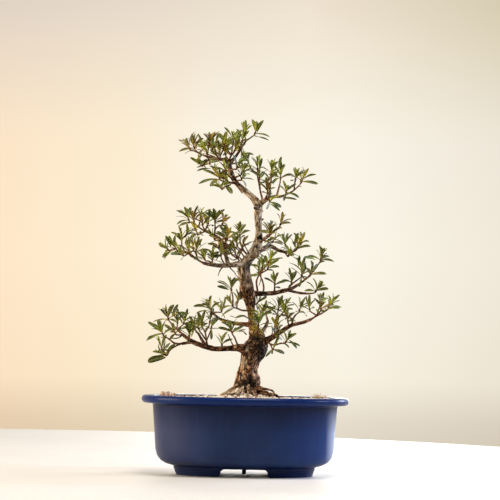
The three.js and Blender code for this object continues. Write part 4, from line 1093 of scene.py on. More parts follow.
# Each shoot: its tone, the points of its twig (the first lies on a limb or an earlier twig), and where its
# leaf tips are, seen from the front. A third number there is the width of a leaf unlike the others.
SPRAYS = {
    "apex_left": [
        ("bronze", [(-45, 9, 380.4), (-53, 10, 382.5), (-61, 10, 386), (-67, 12, 393)],
         [(-87, 402), (-86, 388.5), (-70, 409), (-62, 411), (-56, 404)]),
        ("bluish", [(-61, 10, 386), (-59, 17, 390), (-57, 21, 394)], [(-62, 402), (-51, 401)]),
        ("bronze", [(-52, 10, 382), (-50, 3, 389), (-49, -5, 396)], [(-56, 407), (-49, 411), (-36, 411)]),
        ("dark", [(-52, 10, 382), (-49, 16, 379), (-48, 22, 375)], [(-64, 377), (-64, 369)]),
    ],
    "apex_knot_left": [
        ("golden", [(-36, 5, 378.4), (-35, -4, 382), (-36, -11, 385)], [(-39, 398), (-45, 391)]),
        ("green", [(-35, -4, 382), (-32, -15, 387), (-30, -21, 392)], [(-29, 405), (-38, 402), (-20, 399)]),
    ],
    "apex_knot_back": [
        ("bright", [(-25, -1, 375), (-22, 8, 384), (-17, 14, 393)],
         [(-31, 414), (-20, 414), (-11, 415), (-5, 402)]),
        ("green", [(-22, 8, 384), (-25, 18, 387), (-27, 27, 391)], [(-38, 402), (-26, 408), (-17, 400)]),
    ],
    "apex_right_tip": [
        ("bright", [(-9, -10, 393), (-5, -10, 399), (-6, -7, 407)], [(-5.5, 425), (0, 422), (-13, 412)]),
        ("green", [(-5, -10, 399), (1, -14, 403), (6, -18, 408)], [(8, 424), (14, 421), (24, 403.5)]),
    ],
    "apex_right_low": [
        ("green", [(-24, -1, 372), (-17, 6, 374), (-11, 11, 378)], [(-2, 382), (5, 386.5), (-10, 391)]),
    ],
    "leader_left": [
        ("golden", [(-15, 0, 349), (-24, -10, 349), (-35, -20, 352)],
         [(-55, 362), (-54, 348), (-46, 341), (-27, 365), (-22, 343)]),
    ],
    "leader_back": [
        ("green", [(-12, 1, 346), (-18, 13, 350), (-26, 24, 354)], [(-41, 360), (-30, 369), (-36, 346)]),
    ],
    "leader_right": [
        ("green", [(-19, 0, 355), (-13, -6, 357), (-9, -12, 360)], [(-4, 371), (-13, 373), (4, 362)]),
    ],
    "top_centre": [
        ("green", [(13, 0, 322), (16, 8, 331), (14, 12, 340), (12, 13, 350), (10, 12, 360), (10, 10, 368)],
         [(2, 382), (9, 384), (19, 369), (25, 358), (-6, 364)]),
        ("bluish", [(14, 12, 340), (13, 3, 347), (12, -6, 354)], [(24, 349), (1, 362), (18, 364)]),
    ],
    "top_right_front": [
        ("bright", [(24, -5, 331), (25, -16, 344), (26, -24, 352), (26, -27, 360)],
         [(21, 375), (27, 376), (33, 372), (17, 366), (36, 363)]),
    ],
    "top_right_mid": [
        ("green", [(33, -8.5, 333), (35, 1, 341), (37, 9, 350), (38, 12, 358)],
         [(37.5, 379), (28, 375), (54, 361), (23, 362), (28, 349)]),
    ],
    "top_right_tip": [
        ("golden", [(38, -10, 333), (46, -11, 336), (54, -11, 341), (63, -10, 352)],
         [(53, 368), (64, 370), (80, 360), (83, 350), (50, 357)]),
        ("dark", [(46, -11, 336), (45, -19, 335), (44, -26, 337)], [(60, 331), (41, 325), (35, 346)]),
    ],
    "top_right_inner": [
        ("bronze", [(19, -2.5, 328.5), (21, -10, 333), (22, -15, 337)], [(20, 355), (30, 354), (13, 347)]),
        ("bluish", [(21, -10, 333), (24, -17, 330), (25, -20, 326)], [(39, 320), (21, 316)]),
    ],
    "upper_left_tip": [
        ("bronze", [(-44, 14, 288.5), (-52, 16, 292), (-60, 17, 297), (-66, 17, 304)],
         [(-85, 314), (-76, 321), (-61, 323), (-53, 315), (-84, 298)]),
        ("green", [(-52, 16, 292), (-51, 23, 297), (-49, 29, 303)], [(-57, 317), (-48, 320), (-37, 310)]),
        ("golden", [(-52, 16, 292), (-57, 8, 289), (-61, 0, 288)], [(-66, 303), (-57, 274), (-69, 281)]),
    ],
    "upper_left_front": [
        ("dark", [(-41, 12.8, 287.2), (-40, 5, 294), (-40, -3, 302)],
         [(-42, 318), (-29, 318), (-24, 311), (-25, 304), (-52, 312)]),
    ],
    "upper_left_inner": [
        ("golden", [(-28, 3.5, 271.5), (-28, -7, 276), (-25, -15, 281)],
         [(-35, 297), (-27, 300), (-41, 288), (-9, 291), (-8, 283)]),
        ("bronze", [(-28, -7, 276), (-33, -15, 273), (-34, -22, 271)], [(-45, 262), (-48, 274), (-21, 262)]),
    ],
    "trunk_fine_left": [
        ("olive", [(3, 1, 262), (-4, 9, 268), (-9, 14, 278), (-10, 15, 288)],
         [(-17, 301), (-3, 302), (-10, 305), (-24, 292), (3, 293)]),
        ("olive", [(-4, 9, 268), (-10, 4, 271), (-13, 0, 275)], [(-20, 286), (-8, 288), (-25, 275)]),
    ],
    "left_tip": [
        ("green", [(-53, -17, 252), (-60, -17, 256), (-68, -15, 262), (-76, -11, 266), (-86, -8, 269)],
         [(-98, 279), (-95, 285), (-101, 259), (-87, 286), (-104, 270)]),
        ("green", [(-76, -11, 266), (-79, -3, 273), (-80, 3, 281)], [(-93, 290), (-84, 298), (-67, 290)]),
        ("golden", [(-60, -17, 256), (-65, -26, 258), (-69, -34, 262)],
         [(-88, 262), (-70, 281), (-82, 271)]),
        ("golden", [(-60, -17, 256), (-61, -9, 261), (-62, -2, 267)], [(-49, 277), (-43, 267), (-58, 284)]),
    ],
    "left_limb_front": [
        ("dark", [(-42, -15.5, 250.2), (-42, -22, 252), (-42, -27, 256)],
         [(-51, 264), (-35, 266), (-30, 251)]),
    ],
    "right_tip": [
        ("golden", [(51, 19, 268), (55, 21, 269.5), (59, 24, 273)],
         [(49, 288), (57, 292), (65, 292), (73, 284), (76, 277)]),
        ("bluish", [(55, 21, 269.5), (50, 14, 272), (45, 8, 277)], [(30, 284), (53, 289), (41, 291)]),
    ],
    "right_centre": [
        ("bronze", [(14, 2, 278), (18, -6, 281), (22, -12, 283), (25, -16, 287)],
         [(16, 300), (26.5, 305), (33, 301), (11, 292), (37, 289)]),
        ("bronze", [(22, -12, 283), (31, -17, 291), (38, -19, 299)], [(42, 313), (33, 311), (51, 301)]),
    ],
    "upper_back": [
        ("green", [(22, 24, 287), (25, 31, 290), (27, 38, 293)],
         [(18, 306), (30, 309), (40, 300), (15, 295)]),
    ],
    "mid_right_inner": [
        ("bright", [(13, 7.2, 217.6), (12, -2, 223), (11, -12, 232), (14, -18, 240), (17, -21, 247)],
         [(9, 260), (16, 264), (22, 261), (27, 252), (3, 250)]),
        ("green", [(14, -18, 240), (20, -26, 247), (25, -31, 254)], [(35, 267), (42, 258), (14, 263)]),
    ],
    "mid_right_back": [
        ("green", [(19, 9.6, 218), (20, 20, 226), (18, 28, 235), (15, 33, 243)],
         [(4, 253), (14, 260), (24, 255), (7, 240)]),
    ],
    "mid_right_tip": [
        ("dark", [(62, 17, 230), (70, 16, 236), (77, 14, 243), (83, 12, 251), (88, 11, 260)],
         [(104, 257), (99, 265), (92, 274), (83, 273), (72, 264)]),
        ("bronze", [(70, 16, 236), (74, 7, 239), (76, -2, 242)], [(95, 243), (76, 258), (85, 255)]),
        ("dark", [(70, 16, 236), (67, 25, 240), (66, 33, 247)], [(50, 257), (60, 264), (70, 265)]),
    ],
    "mid_right_front": [
        ("dark", [(52, 16.8, 224.4), (52, 8, 228), (53, 0, 232)], [(48, 243), (59, 246), (41, 233)]),
        ("bluish", [(52, 8, 228), (59, 0, 234), (65, -6, 240)], [(52, 249), (68, 255), (62, 226)]),
    ],
    "mid_right_low": [
        ("dark", [(73, 27, 219.5), (79, 29, 220), (84, 30, 223)],
         [(72, 234), (80, 239), (92, 235), (70, 223), (99, 226)]),
    ],
    "mid_right_small": [
        ("dark", [(33, 14, 219), (33, 6, 224), (33, -2, 229)], [(20, 235), (28, 242), (37, 243), (46, 233)]),
    ],
    "low_right_tip": [
        ("bright", [(77, -11, 187.5), (84, -8, 192), (90, -6, 195), (98, -5, 202)],
         [(111, 218), (103, 220), (95, 217), (114, 203), (112, 211)]),
        ("bronze", [(84, -8, 192), (87, -16, 196), (88, -23, 200)], [(87, 219), (79, 212), (104, 206)]),
        ("green", [(84, -8, 192), (80, 2, 195), (76, 11, 200)], [(75, 218), (85, 213), (61, 204)]),
    ],
    "low_right_thin": [
        ("dark", [(54, -15, 180), (55, -24, 187), (58, -31, 192), (62, -35, 197)],
         [(62, 213), (53, 207), (73, 206), (71, 190)]),
        ("dark", [(55, -24, 187), (50, -30, 189), (46, -34, 192)], [(41, 204), (51, 205), (33, 192)]),
    ],
    "low_right_inner": [
        ("golden", [(37, -10.8, 169.2), (37, -20, 172), (36, -28, 176)],
         [(37, 192), (29, 188), (46, 187), (24, 177)]),
    ],
    "low_right_tall": [
        ("green", [(34, -9.2, 167.6), (34, 1, 176), (35, 9, 186), (38, 16, 199)],
         [(24, 209), (19, 201), (43, 217), (54, 209), (56, 200)]),
    ],
    "low_right_low": [
        ("dark", [(24, -3.5, 161.6), (28, -14, 157.5), (34, -22, 156), (41, -27, 158), (47, -30, 160)],
         [(59, 170), (64, 155), (48, 175), (37, 171)]),
        ("dark", [(28, -14, 157.5), (30, -20, 154), (32, -25, 151)], [(46, 146), (23, 142)]),
    ],
    "trunk_front": [
        ("bluish", [(12, 2, 168), (13, -13, 171), (14, -21, 175), (14, -26, 179)],
         [(9, 194), (20, 195), (31, 181), (0, 188), (23, 170)]),
    ],
    "trunk_back_right": [
        ("green", [(7, 4, 184), (12, 12, 187), (17, 18, 191)], [(12, 206), (23, 207), (31, 196), (5, 200)]),
    ],
    "low_left_tip": [
        ("golden", [(-77, 0, 167), (-84, 3, 173), (-90, 6, 179), (-95, 8, 186)],
         [(-107, 198), (-98, 204), (-88, 203), (-79, 194), (-113, 181)]),
        ("dark", [(-84, 3, 173), (-84, 12, 177), (-84, 19, 181)], [(-84, 199), (-93, 195), (-74, 193)]),
        ("dark", [(-84, 3, 173), (-79, -6, 176), (-75, -14, 181)], [(-83, 194), (-71, 198), (-63, 188)]),
    ],
    "low_left_out": [
        ("green", [(-77, -13, 155.6), (-85, -22, 156), (-92, -29, 161), (-99, -34, 167)],
         [(-112, 179), (-117, 162), (-95, 184), (-86, 174), (-104, 184)]),
        ("green", [(-77, -13, 155.6), (-85, -18, 152), (-91, -20, 147), (-96, -21, 142)],
         [(-116, 134, 9), (-95, 159), (-84, 155)]),
    ],
    "low_left_centre": [
        ("dark", [(-66, -5, 159), (-67, -14, 161), (-68, -21, 165)],
         [(-74, 181), (-67, 184), (-59, 178), (-83, 174)]),
    ],
    "low_left_inner": [
        ("green", [(-46, -9, 152), (-48, 1, 160), (-50, 8, 170), (-54, 13, 178)],
         [(-68, 189), (-60, 195), (-51, 197), (-71, 181)]),
        ("green", [(-50, 8, 170), (-46, 17, 177), (-45, 23, 183)], [(-52, 197), (-41, 200), (-32, 190)]),
        ("dark", [(-48, 1, 160), (-44, -7, 169), (-42, -12, 176)], [(-42, 161), (-33, 188), (-49, 189)]),
    ],
    "low_left_back": [
        ("green", [(-58, 18, 168), (-61, 25, 171), (-63, 33, 175)],
         [(-74, 186), (-62, 192), (-52, 184), (-80, 174)]),
    ],
    "left_olive": [
        ("olive", [(-38, 21, 191), (-41, 21, 194), (-44, 21, 198)],
         [(-55, 212), (-64, 201), (-62, 193), (-33, 207), (-44, 215)]),
        ("green", [(-41, 21, 194), (-36, 30, 195), (-31, 37, 197)], [(-42, 209), (-27, 214), (-17, 203)]),
    ],
    "low_left_leaf": [
        ("green", [(-29, -6.8, 150.4), (-29, -13, 152), (-29, -18, 155)], [(-22, 171), (-38, 167)]),
    ],
    "trunk_left_low": [
        ("dark", [(-7, -3, 152), (-11, -15, 157), (-14, -24, 164), (-17, -30, 170)],
         [(-34, 175), (-23, 186), (-12, 187), (-3, 178), (-30, 182)]),
    ],
    "trunk_left": [
        ("olive", [(3, 4, 197), (-6, -6, 197), (-12, -12, 199), (-17, -15, 202)],
         [(-33, 197), (-30, 189), (-7, 211)]),
        ("dark", [(-17, -15, 202), (-17, -14, 212), (-19, -12, 221)], [(-35, 232), (-24, 238), (-14, 237)]),
    ],
    "middle_back": [
        ("green", [(0, 38, 226), (-2, 44, 230), (-4, 50, 235)],
         [(-14, 247), (-2, 253), (9, 243), (-21, 235)]),
    ],
    "low_back": [
        ("green", [(26, 42, 186), (25, 48, 190), (24, 54, 195)],
         [(12, 205), (24, 212), (36, 205), (40, 193)]),
    ],
}

# Slender shoots that stand among the larger ones, given in the same way.
MORE_SHOOTS = {
    "apex_left": [
        ("bronze", [(-61, 10, 386), (-67, 4, 388), (-72, 1, 390)], [(-84, 399), (-66, 411)]),
        ("dark", [(-49, 16, 379), (-54, 12, 374), (-58, 8, 371)], [(-50, 379), (-62, 382)]),
    ],
    "apex_knot_left": [
        ("golden", [(-25, -2, 375), (-27, -9, 379), (-29, -14, 383)],
         [(-42, 392), (-34, 398), (-24, 398), (-19, 389)]),
        ("bronze", [(-27, -9, 379), (-32, -13, 377), (-37, -16, 377)], [(-47, 382), (-42, 388), (-47, 372)]),
        ("green", [(-40, -2, 379), (-46, -8, 381), (-51, -12, 384)], [(-63, 388), (-60, 379), (-56, 396)]),
        ("golden", [(-25, -2, 375), (-22, -8, 381), (-18, -12, 387)], [(-12, 401), (-22, 403), (-8, 391)]),
        ("dark", [(-36, 5, 378.4), (-41, 2, 384), (-45, -2, 389)], [(-44, 405), (-54, 399), (-38, 402)]),
    ],
    "apex_knot_back": [
        ("bright", [(-22, 8, 384), (-21, 4, 392), (-20, 0, 400)], [(-23, 414), (-12, 414)]),
        ("golden", [(-22, 8, 384), (-27, 4, 390), (-31, -2, 396)], [(-37, 410), (-28, 412), (-42, 400)]),
        ("green", [(-13, -2, 388), (-11, -8, 394), (-9, -12, 399)], [(-14, 413), (-4, 410), (-3, 398)]),
    ],
    "leader_left": [
        ("olive", [(-19, -5, 352), (-24, -12, 356), (-28, -16, 361)], [(-38, 372), (-24, 374), (-40, 362)]),
        ("green", [(-24, -10, 349), (-30, -14, 353), (-37, -17, 357)], [(-46, 368)]),
        ("dark", [(-22, -6, 346.5), (-29, -12, 343), (-33, -16, 341)], [(-47, 345.5)]),
    ],
    "leader_right": [
        ("bluish", [(-23, -3, 364), (-18, -9, 365), (-15, -12, 366)], [(-8, 378), (-3, 368), (-20, 380)]),
        ("bluish", [(-16, -2, 350), (-12, -8, 352), (-9, -12, 353)],
         [(6, 351.5), (-4, 361), (-3, 343), (-17, 362)]),
    ],
    "top_centre": [
        ("green", [(11, 12, 362), (5, 14, 366), (1, 15, 371)], [(-9, 372)]),
        ("dark", [(12, 13, 350), (18, 17, 353), (24, 20, 357)], [(34, 365), (27, 370)]),
    ],
    "top_right_tip": [
        ("green", [(54, -11, 341), (54, -16, 347), (55, -20, 353)], [(66, 363)]),
    ],
    "upper_left_tip": [
        ("green", [(-60, 17, 297), (-66, 11, 300), (-72, 7, 305)],
         [(-87, 316), (-88, 309), (-77, 320), (-70, 321), (-86, 298)]),
        ("bright", [(-60, 17, 297), (-59, 20, 303), (-58, 22, 309)], [(-63, 324), (-50, 310)]),
        ("bronze", [(-52, 16, 292), (-54, 10, 296), (-55, 5, 299)], [(-67, 306), (-47, 309), (-64, 295)]),
    ],
    "upper_left_front": [
        ("bronze", [(-40, 5, 294), (-35, 0, 298), (-31, -4, 300)], [(-31, 314), (-24, 297)]),
    ],
    "upper_left_inner": [
        ("golden", [(-27, 0, 266), (-26, -8, 274), (-27, -12, 281)],
         [(-27, 299), (-34, 297), (-21, 294), (-38, 289)]),
        ("dark", [(-28, -10, 252), (-31, -16, 257), (-32, -20, 262)], [(-24, 271), (-41, 272), (-43, 259)]),
        ("green", [(-28, -7, 276), (-34, -12, 279), (-40, -16, 281)], [(-50, 291)]),
    ],
    "trunk_fine_left": [
        ("olive", [(-5, 1, 252), (-12, 2, 259), (-15, 0, 266)],
         [(-26, 272), (-21, 281), (-9, 280), (-25, 262)]),
        ("bronze", [(-12, 2, 259), (-9, 7, 266), (-7, 10, 272)], [(-4, 286), (-13, 285), (2, 277)]),
        ("olive", [(-12, 2, 259), (-17, 6, 262), (-20, 9, 266)], [(-31, 276), (-22, 279), (-31, 266)]),
    ],
    "left_tip": [
        ("golden", [(-61, -9, 261), (-63, -14, 265), (-65, -18, 269)], [(-72, 284), (-66, 287), (-60, 284)]),
        ("green", [(-68, -15, 262), (-72, -20, 262), (-77, -24, 261)], [(-92, 264)]),
        ("bluish", [(-80, 3, 281), (-77, 5, 284), (-75, 7, 286)], [(-62, 288)]),
        ("green", [(-86, -8, 269), (-91, -11, 268), (-95, -13, 267)], [(-101, 257), (-92, 281)]),
    ],
    "left_limb_front": [
        ("dark", [(-42, -22, 252), (-47, -25, 254), (-51, -27, 256)], [(-61, 264), (-50, 268), (-64, 255)]),
    ],
    "right_tip": [
        ("golden", [(55, 21, 269.5), (61, 17, 275), (64, 14, 279)], [(74, 281), (63, 294)]),
        ("green", [(44, 18, 269), (46, 10, 266), (49, 4, 264)], [(60, 257), (44, 274)]),
    ],
    "right_centre": [
        ("bronze", [(18, -6, 281), (24, -8, 279), (29, -9, 279)], [(42, 277), (20, 272)]),
    ],
    "mid_right_inner": [
        ("green", [(14, -18, 240), (20, -22, 243), (24, -25, 247)], [(37, 258), (38, 250)]),
    ],
    "middle_back": [
        ("dark", [(2, 12, 210), (7, 14, 207), (12, 15, 206)], [(16, 218), (9, 220)]),
    ],
    "low_right_tip": [
        ("bright", [(84, -8, 192), (86, -3, 199), (88, 1, 205)], [(84, 219), (92, 221), (98, 214)]),
    ],
    "low_right_thin": [
        ("bluish", [(50, -14.5, 178), (50, -19, 181), (49, -22, 185)], [(57, 195), (41, 191), (60, 184)]),
    ],
    "low_right_tall": [
        ("green", [(35, 9, 186), (41, 12, 192), (45, 14, 199)], [(36, 215)]),
    ],
    "low_right_low": [
        ("bluish", [(24, -3.5, 161.6), (30, -10, 164), (34, -14, 165)], [(43, 162), (39, 174), (30, 177)]),
    ],
    "low_left_tip": [
        ("bronze", [(-77, -2, 166), (-81, -10, 166), (-85, -16, 168)],
         [(-95, 176), (-89, 181), (-76, 175), (-91, 160)]),
    ],
    "low_left_out": [
        ("bright", [(-91, -20, 147), (-96, -24, 148), (-100, -27, 150)], [(-99, 143)]),
    ],
    "low_left_inner": [
        ("green", [(-48, 1, 160), (-53, -6, 167), (-57, -12, 174)], [(-58, 189), (-47, 181)]),
    ],
    "left_olive": [
        ("olive", [(-34, 20, 187.5), (-39, 14, 191), (-43, 9, 195)], [(-50, 207)]),
    ],
    "trunk_left": [
        ("olive", [(-12, -12, 199), (-12, -8, 204), (-11, -5, 208)], [(-18, 219), (-7, 218), (-3, 210)]),
    ],
}

# Single leaves: the tone, the foot, the tip, the width.
LONE_LEAVES = {
    "low_left_out": [
        ("broad", (-95, -23, 139.5), (-116.5, -25, 133), 9.2),
        ("green", (-100, -34, 168), (-118, -38, 158), 4.5), ("green", (-99, -34, 168), (-117, -30, 181), 4.2),
        ("bluish", (-90, -27, 157), (-96, -33, 149), 3.4),
    ],
    "low_left_tip": [
        ("dark", (-90, 6, 187), (-83, 0, 203), 4.2), ("dark", (-87, -5, 191), (-73, -10, 192.5), 3.6),
    ],
    "leader_left": [
        ("olive", (-28, -8, 346), (-20, -16, 335), 6), ("green", (-38, -18, 352.5), (-60, -24, 345), 4.2),
    ],
    "apex_left": [
        ("dark", (-46, 12, 368), (-63, 8, 364), 4), ("dark", (-41, 4, 398), (-36.5, -2, 410), 3.6),
    ],
    "apex_knot_back": [("green", (-22, 4, 406), (-31, -2, 417), 3.4)],
    "apex_right_tip": [
        ("dark", (7, -12, 405.5), (23, -16, 399.5), 3), ("green", (8, -17, 408), (16, -20, 424), 3.4),
        ("bright", (7, -17, 409), (2.5, -19, 425), 3.6),
    ],
    "top_centre": [
        ("dark", (-9, 12, 387), (5, 8, 385.5), 3), ("green", (12, 10, 366), (15, 6, 381), 3.6),
    ],
    "top_right_tip": [
        ("green", (64, -14, 351), (81, -18, 348), 3.4), ("dark", (39, -20, 331), (57, -24, 328), 3.6),
    ],
    "top_right_front": [
        ("green", (24, -12, 325), (37, -20, 315), 4), ("dark", (35, -8, 366), (38, -12, 381), 3.6),
        ("green", (36, -10, 359), (43, -15, 371), 3.4),
    ],
    "upper_left_tip": [("green", (-74, 4, 284), (-74, 0, 273), 3.4)],
    "left_tip": [
        ("bluish", (-76, -22, 260), (-92, -28, 261), 4), ("green", (-92, -8, 270), (-99, -12, 284), 4),
        ("dark", (-90, -14, 267), (-100, -18, 256), 3.6),
    ],
    "right_tip": [
        ("golden", (56, 12, 274), (60.5, 8, 292), 3.8), ("green", (58, 10, 272), (53, 4, 281), 3.4),
    ],
    "mid_right_tip": [
        ("bluish", (82, 4, 259), (67, -2, 262), 3.8), ("green", (61, 2, 250), (62, -4, 264), 3.6),
    ],
    "trunk_left": [
        ("green", (-23, -8, 224), (-36, -14, 230.5), 4), ("bluish", (-22, -8, 221), (-36, -12, 225), 4),
        ("bluish", (-14, -8, 188), (-1, -14, 190), 3.4),
    ],
    "trunk_left_low": [("bluish", (-13, -10, 170), (-1, -16, 173.5), 3.2)],
    "low_left_inner": [("green", (-66, -4, 163), (-62, -10, 176), 3.6)],
    "low_right_tip": [
        ("bright", (98, -5, 200), (111, -9, 201), 3.8),
        ("green", (83, -8, 201), (86, -14, 194), 3.4),
    ],
    "low_right_low": [("dark", (50, -28, 163), (60, -33, 152), 3)],
    "right_centre": [("green", (19, -8, 277), (32, -12, 283), 4)],
    "left_olive": [
        ("bluish", (-31, 12, 189), (-17, 6, 199), 4), ("olive", (-47, 18, 203.5), (-65, 12, 201), 4.2),
    ],
}

# Bare twigs, as points with a radius.
BARE_TWIGS = {
    "leader_left": [[(-18, 0, 350, 0.9), (-13, -6, 343, 0.7), (-8, -10, 336, 0.5)]],
    "upper_left_tip": [[(-52, 16, 292, 0.8), (-49, 8, 297, 0.6), (-45, 2, 299, 0.5)],
                       [(-44, 14, 289, 0.8), (-47, 6, 293, 0.6), (-50, 0, 298, 0.5)]],
    "upper_left_inner": [[(-27, 0, 266, 0.9), (-34, -6, 262, 0.8), (-38, -12, 256, 0.5)],
                         [(-24, -10, 251, 0.9), (-19, -16, 245, 0.7), (-14, -18, 240, 0.5)],
                         [(-28, -12, 250, 0.8), (-33, -18, 243, 0.7), (-35, -20, 237, 0.4)],
                         [(-26, -4, 260, 0.9), (-31, -10, 265, 0.7), (-37, -14, 266, 0.5)],
                         [(-27, -2, 264, 0.9), (-22, -7, 270, 0.7), (-20, -10, 277, 0.4)]],
    "trunk_fine_left": [[(-5, 1, 256, 1), (-13, -4, 262, 0.8), (-20, -8, 264, 0.6), (-26, -10, 269, 0.4)],
                        [(-3, 1, 258, 1), (-8, -5, 266, 0.8), (-16, -7, 273, 0.6), (-19, -8, 281, 0.4)],
                        [(3, 1, 262, 1), (-1, -6, 269, 0.7), (-5, -9, 277, 0.6), (-4, -11, 285, 0.4)],
                        [(-12, 2, 259, 0.8), (-18, -1, 257, 0.7), (-23, -3, 260, 0.4)]],
    "trunk_left_low": [[(-14, -4, 151.5, 0.9), (-18, -10, 159, 0.7), (-22, -14, 168, 0.5)],
                       [(0, -2, 168, 0.8), (-5, -8, 172, 0.6), (-9, -10, 171, 0.4)]],
    "trunk_left": [[(5, 2, 186, 0.9), (-4, -4, 190, 0.7), (-12, -7, 188, 0.5), (-20, -9, 190, 0.4)],
                   [(-3, -3, 232, 0.8), (-10, -9, 235, 0.6), (-15, -11, 240, 0.4)]],
    "low_left_tip": [[(-77, -2, 166, 1), (-83, -9, 162, 0.8), (-91, -13, 162, 0.5)],
                     [(-72, -4, 163, 1), (-77, -11, 168, 0.7), (-82, -14, 174, 0.5)]],
    "mid_right_inner": [[(16, -16, 242, 0.8), (16, -20, 234, 0.6), (14, -21, 226, 0.4)]],
    "right_centre": [[(12, 1, 270, 0.8), (18, -5, 268, 0.6), (25, -8, 270, 0.4)]],
    "low_right_inner": [[(28, -7, 164, 0.8), (31, -13, 171, 0.6), (30, -16, 179, 0.4)]],
}

LEAF = {"width": 4.8, "fine_width": 0.78, "thick": 0.45, "roll": 32, "shortest": 15, "longest": 21,
        "least_depth": 3}
TWIG = {"main": 1.35, "side": 1.05, "tip": 0.8, "girth": 1.0}
BUD = {"radius": 1.45, "below": 2.2, "above": 2.6, "point": 0.5}
SEED = 7

# The rings of leaves round a bud, from the outside in: how many on a first and on a later shoot, how far they
# lean from its axis in degrees, their lengths, their widths as a share of the length, and their ages.
RINGS = [
    ((1, 1), (36, 60), (14, 18), (0.18, 0.23), (0.5, 1.0)),
    ((3, 2), (10, 34), (14, 18.5), (0.16, 0.21), (0.05, 0.6)),
    ((3, 2), (2, 14), (11, 16), (0.13, 0.17), (0.0, 0.15)),
]
# The same of a leaf on the twig below the bud: a long twig has two of them.
STEM_LEAF = ((45, 75), (7, 11.5), (0.25, 0.32), (0.5, 1))
LONG_TWIG = 7
# Each leaf of a ring stands so many radians round from the last one, as leaves on a stem do.
LEAF_TURN = 2.4

# Leaves low on the tree stand in each other's shade, and are darker.
SHADE = {"heights": (150, 300), "light": (0.84, 1.04)}

# The colours of a young and a grown leaf in each tone.
TONES = {
    "green": ("#bcbe28", "#364210"),
    "bright": ("#cfcf34", "#566318"),
    "golden": ("#dcc03a", "#505212"),
    "bronze": ("#bd9038", "#504815"),
    "bluish": ("#a8b044", "#44593a"),
    "olive": ("#b8ac38", "#5d5f1f"),
    "dark": ("#a3a52c", "#26320c"),
    "broad": ("#6e7030", "#4c5222"),
}
UNDERSIDE = "#7c7a3c"
UNDERSIDE_SHARE = 0.55
LEAF_FOOT = "#9a6834"
# How much lighter or darker one leaf is than the next, and how far its red, green and blue part.
LEAF_LIGHT = (0.68, 1.3)
LEAF_CAST = (0.93, 1.07)


def repeatable_stream(seed):
    """A small random stream (a 32-bit mixing generator), the same one that placed the solid leaves."""
    state = seed
    while True:
        state = (state + 0x6d2b79f5) & 0xffffffff
        mixed = ((state ^ (state >> 15)) * (state | 1)) & 0xffffffff
        mixed ^= (mixed + ((mixed ^ (mixed >> 7)) * (mixed | 61) & 0xffffffff)) & 0xffffffff
        yield ((mixed ^ (mixed >> 14)) & 0xffffffff) / 4294967296


# Ways a leaf may be bent clear of its neighbours: its lean, its length, how much it is raised.
BENDS = [(1, 1, 0), (-1, 1, 0), (1, 0.85, 1), (-1, 0.85, 1), (1, 0.7, 0), (-1, 0.7, 0), (0.5, 0.8, 2),
         (-0.5, 0.8, 2), (1, 0.75, -2), (-1, 0.75, -2), (0.3, 0.65, 0), (-0.3, 0.65, 3)]


def unit(vector):
    """The vector at a length of one."""
    return vector / np.linalg.norm(vector)


def shoot_axis(twig):
    """The way a shoot points: on along its twig, and up."""
    return unit(unit(twig[-1] - twig[-2]) + (0, 0, 1))


def solid_corners(node):
    """A finder of the nearest of a solid's points, in millimetres."""
    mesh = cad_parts[node].data
    finder = KDTree(len(mesh.vertices))
    for number, corner in enumerate(mesh.vertices):
        finder.insert(corner.co * METRE, number)
    finder.balance()
    return finder


def leaf_tips(twig, tips, index, draw, corners):
    """Where each of a shoot's leaves ends, bent as the solid leaf is, with its width."""
    base = twig[-1]
    grown = []
    for number, (x, z, *broad) in enumerate(tips):
        full = LEAF["shortest"] + (LEAF["longest"] - LEAF["shortest"]) * next(draw)
        width = LEAF["width"] * (0.85 + 0.35 * next(draw))
        width = broad[0] if broad else width
        seen = math.hypot(x - base[0], z - base[2])
        depth = math.sqrt(max(full ** 2 - seen ** 2, LEAF["least_depth"] ** 2))
        lean = 1 if (index + number) % 2 else -1
        choices = [(base[0] + (x - base[0]) * size, base[1] + lean * turn * depth,
                    base[2] + (z - base[2]) * size + up) for turn, size, up in BENDS]
        nearest = min(choices, key=lambda tip: round(corners.find(tip)[2], 2))
        grown.append((np.array(nearest), width * LEAF["fine_width"], lean))
    return grown


# Azalea leaf: a grown one is leathery, dark green and a little glossy above with a pale midrib and sunk side
# veins, paler below. Young ones are thin and yellow-green or bronze.
leaf_skin, tree, place = material("leathery azalea leaf")
tint = add(tree, "Attribute", attribute_name="leaf_tint").outputs["Color"]
spot = add(tree, "Attribute", attribute_name="leaf_place").outputs["Vector"]
parts = add(tree, "SeparateXYZ", {"Vector": spot})
across = add(tree, "Math", {0: parts.outputs["X"]}, operation="ABSOLUTE")
rib = add(tree, "MapRange", {"Value": across, "From Min": 0.32, "From Max": 0.1})
slant = add(tree, "Math", {0: across, 1: 1.1}, operation="MULTIPLY")
climb = add(tree, "Math", {0: parts.outputs["Y"], 1: slant}, operation="SUBTRACT")
spaced = add(tree, "Math", {0: climb, 1: 3.6}, operation="MULTIPLY")
vein_wave = add(tree, "Math", {0: spaced}, operation="SINE")
vein = add(tree, "MapRange", {"Value": vein_wave, "From Min": 0.7, "From Max": 1.0})
mottle = add(tree, "TexNoise", {"Vector": place, "Scale": 1 / 2.4, "Detail": 3.0})
cloudy = add(tree, "MapRange", {
    "Value": mottle, "From Min": 0.3, "From Max": 0.7, "To Min": 0.72, "To Max": 1.3})
# Painted highlight and shade: each leaf is painted lighter along its middle and darker towards its edges.
midline_highlight = add(tree, "MapRange", {
    "Value": across, "From Min": 1.7, "From Max": 0.2, "To Min": 0.6, "To Max": 1.3})
shaded = add(tree, "Math", {0: cloudy, 1: midline_highlight}, operation="MULTIPLY")
base = add(tree, "VectorMath", {0: tint, "Scale": shaded}, operation="SCALE")
faint_vein = add(tree, "Math", {0: vein, 1: 0.25}, operation="MULTIPLY")
veined = add(tree, "MixRGB", {"Fac": faint_vein, "Color1": base, "Color2": colour("#a5a758")})
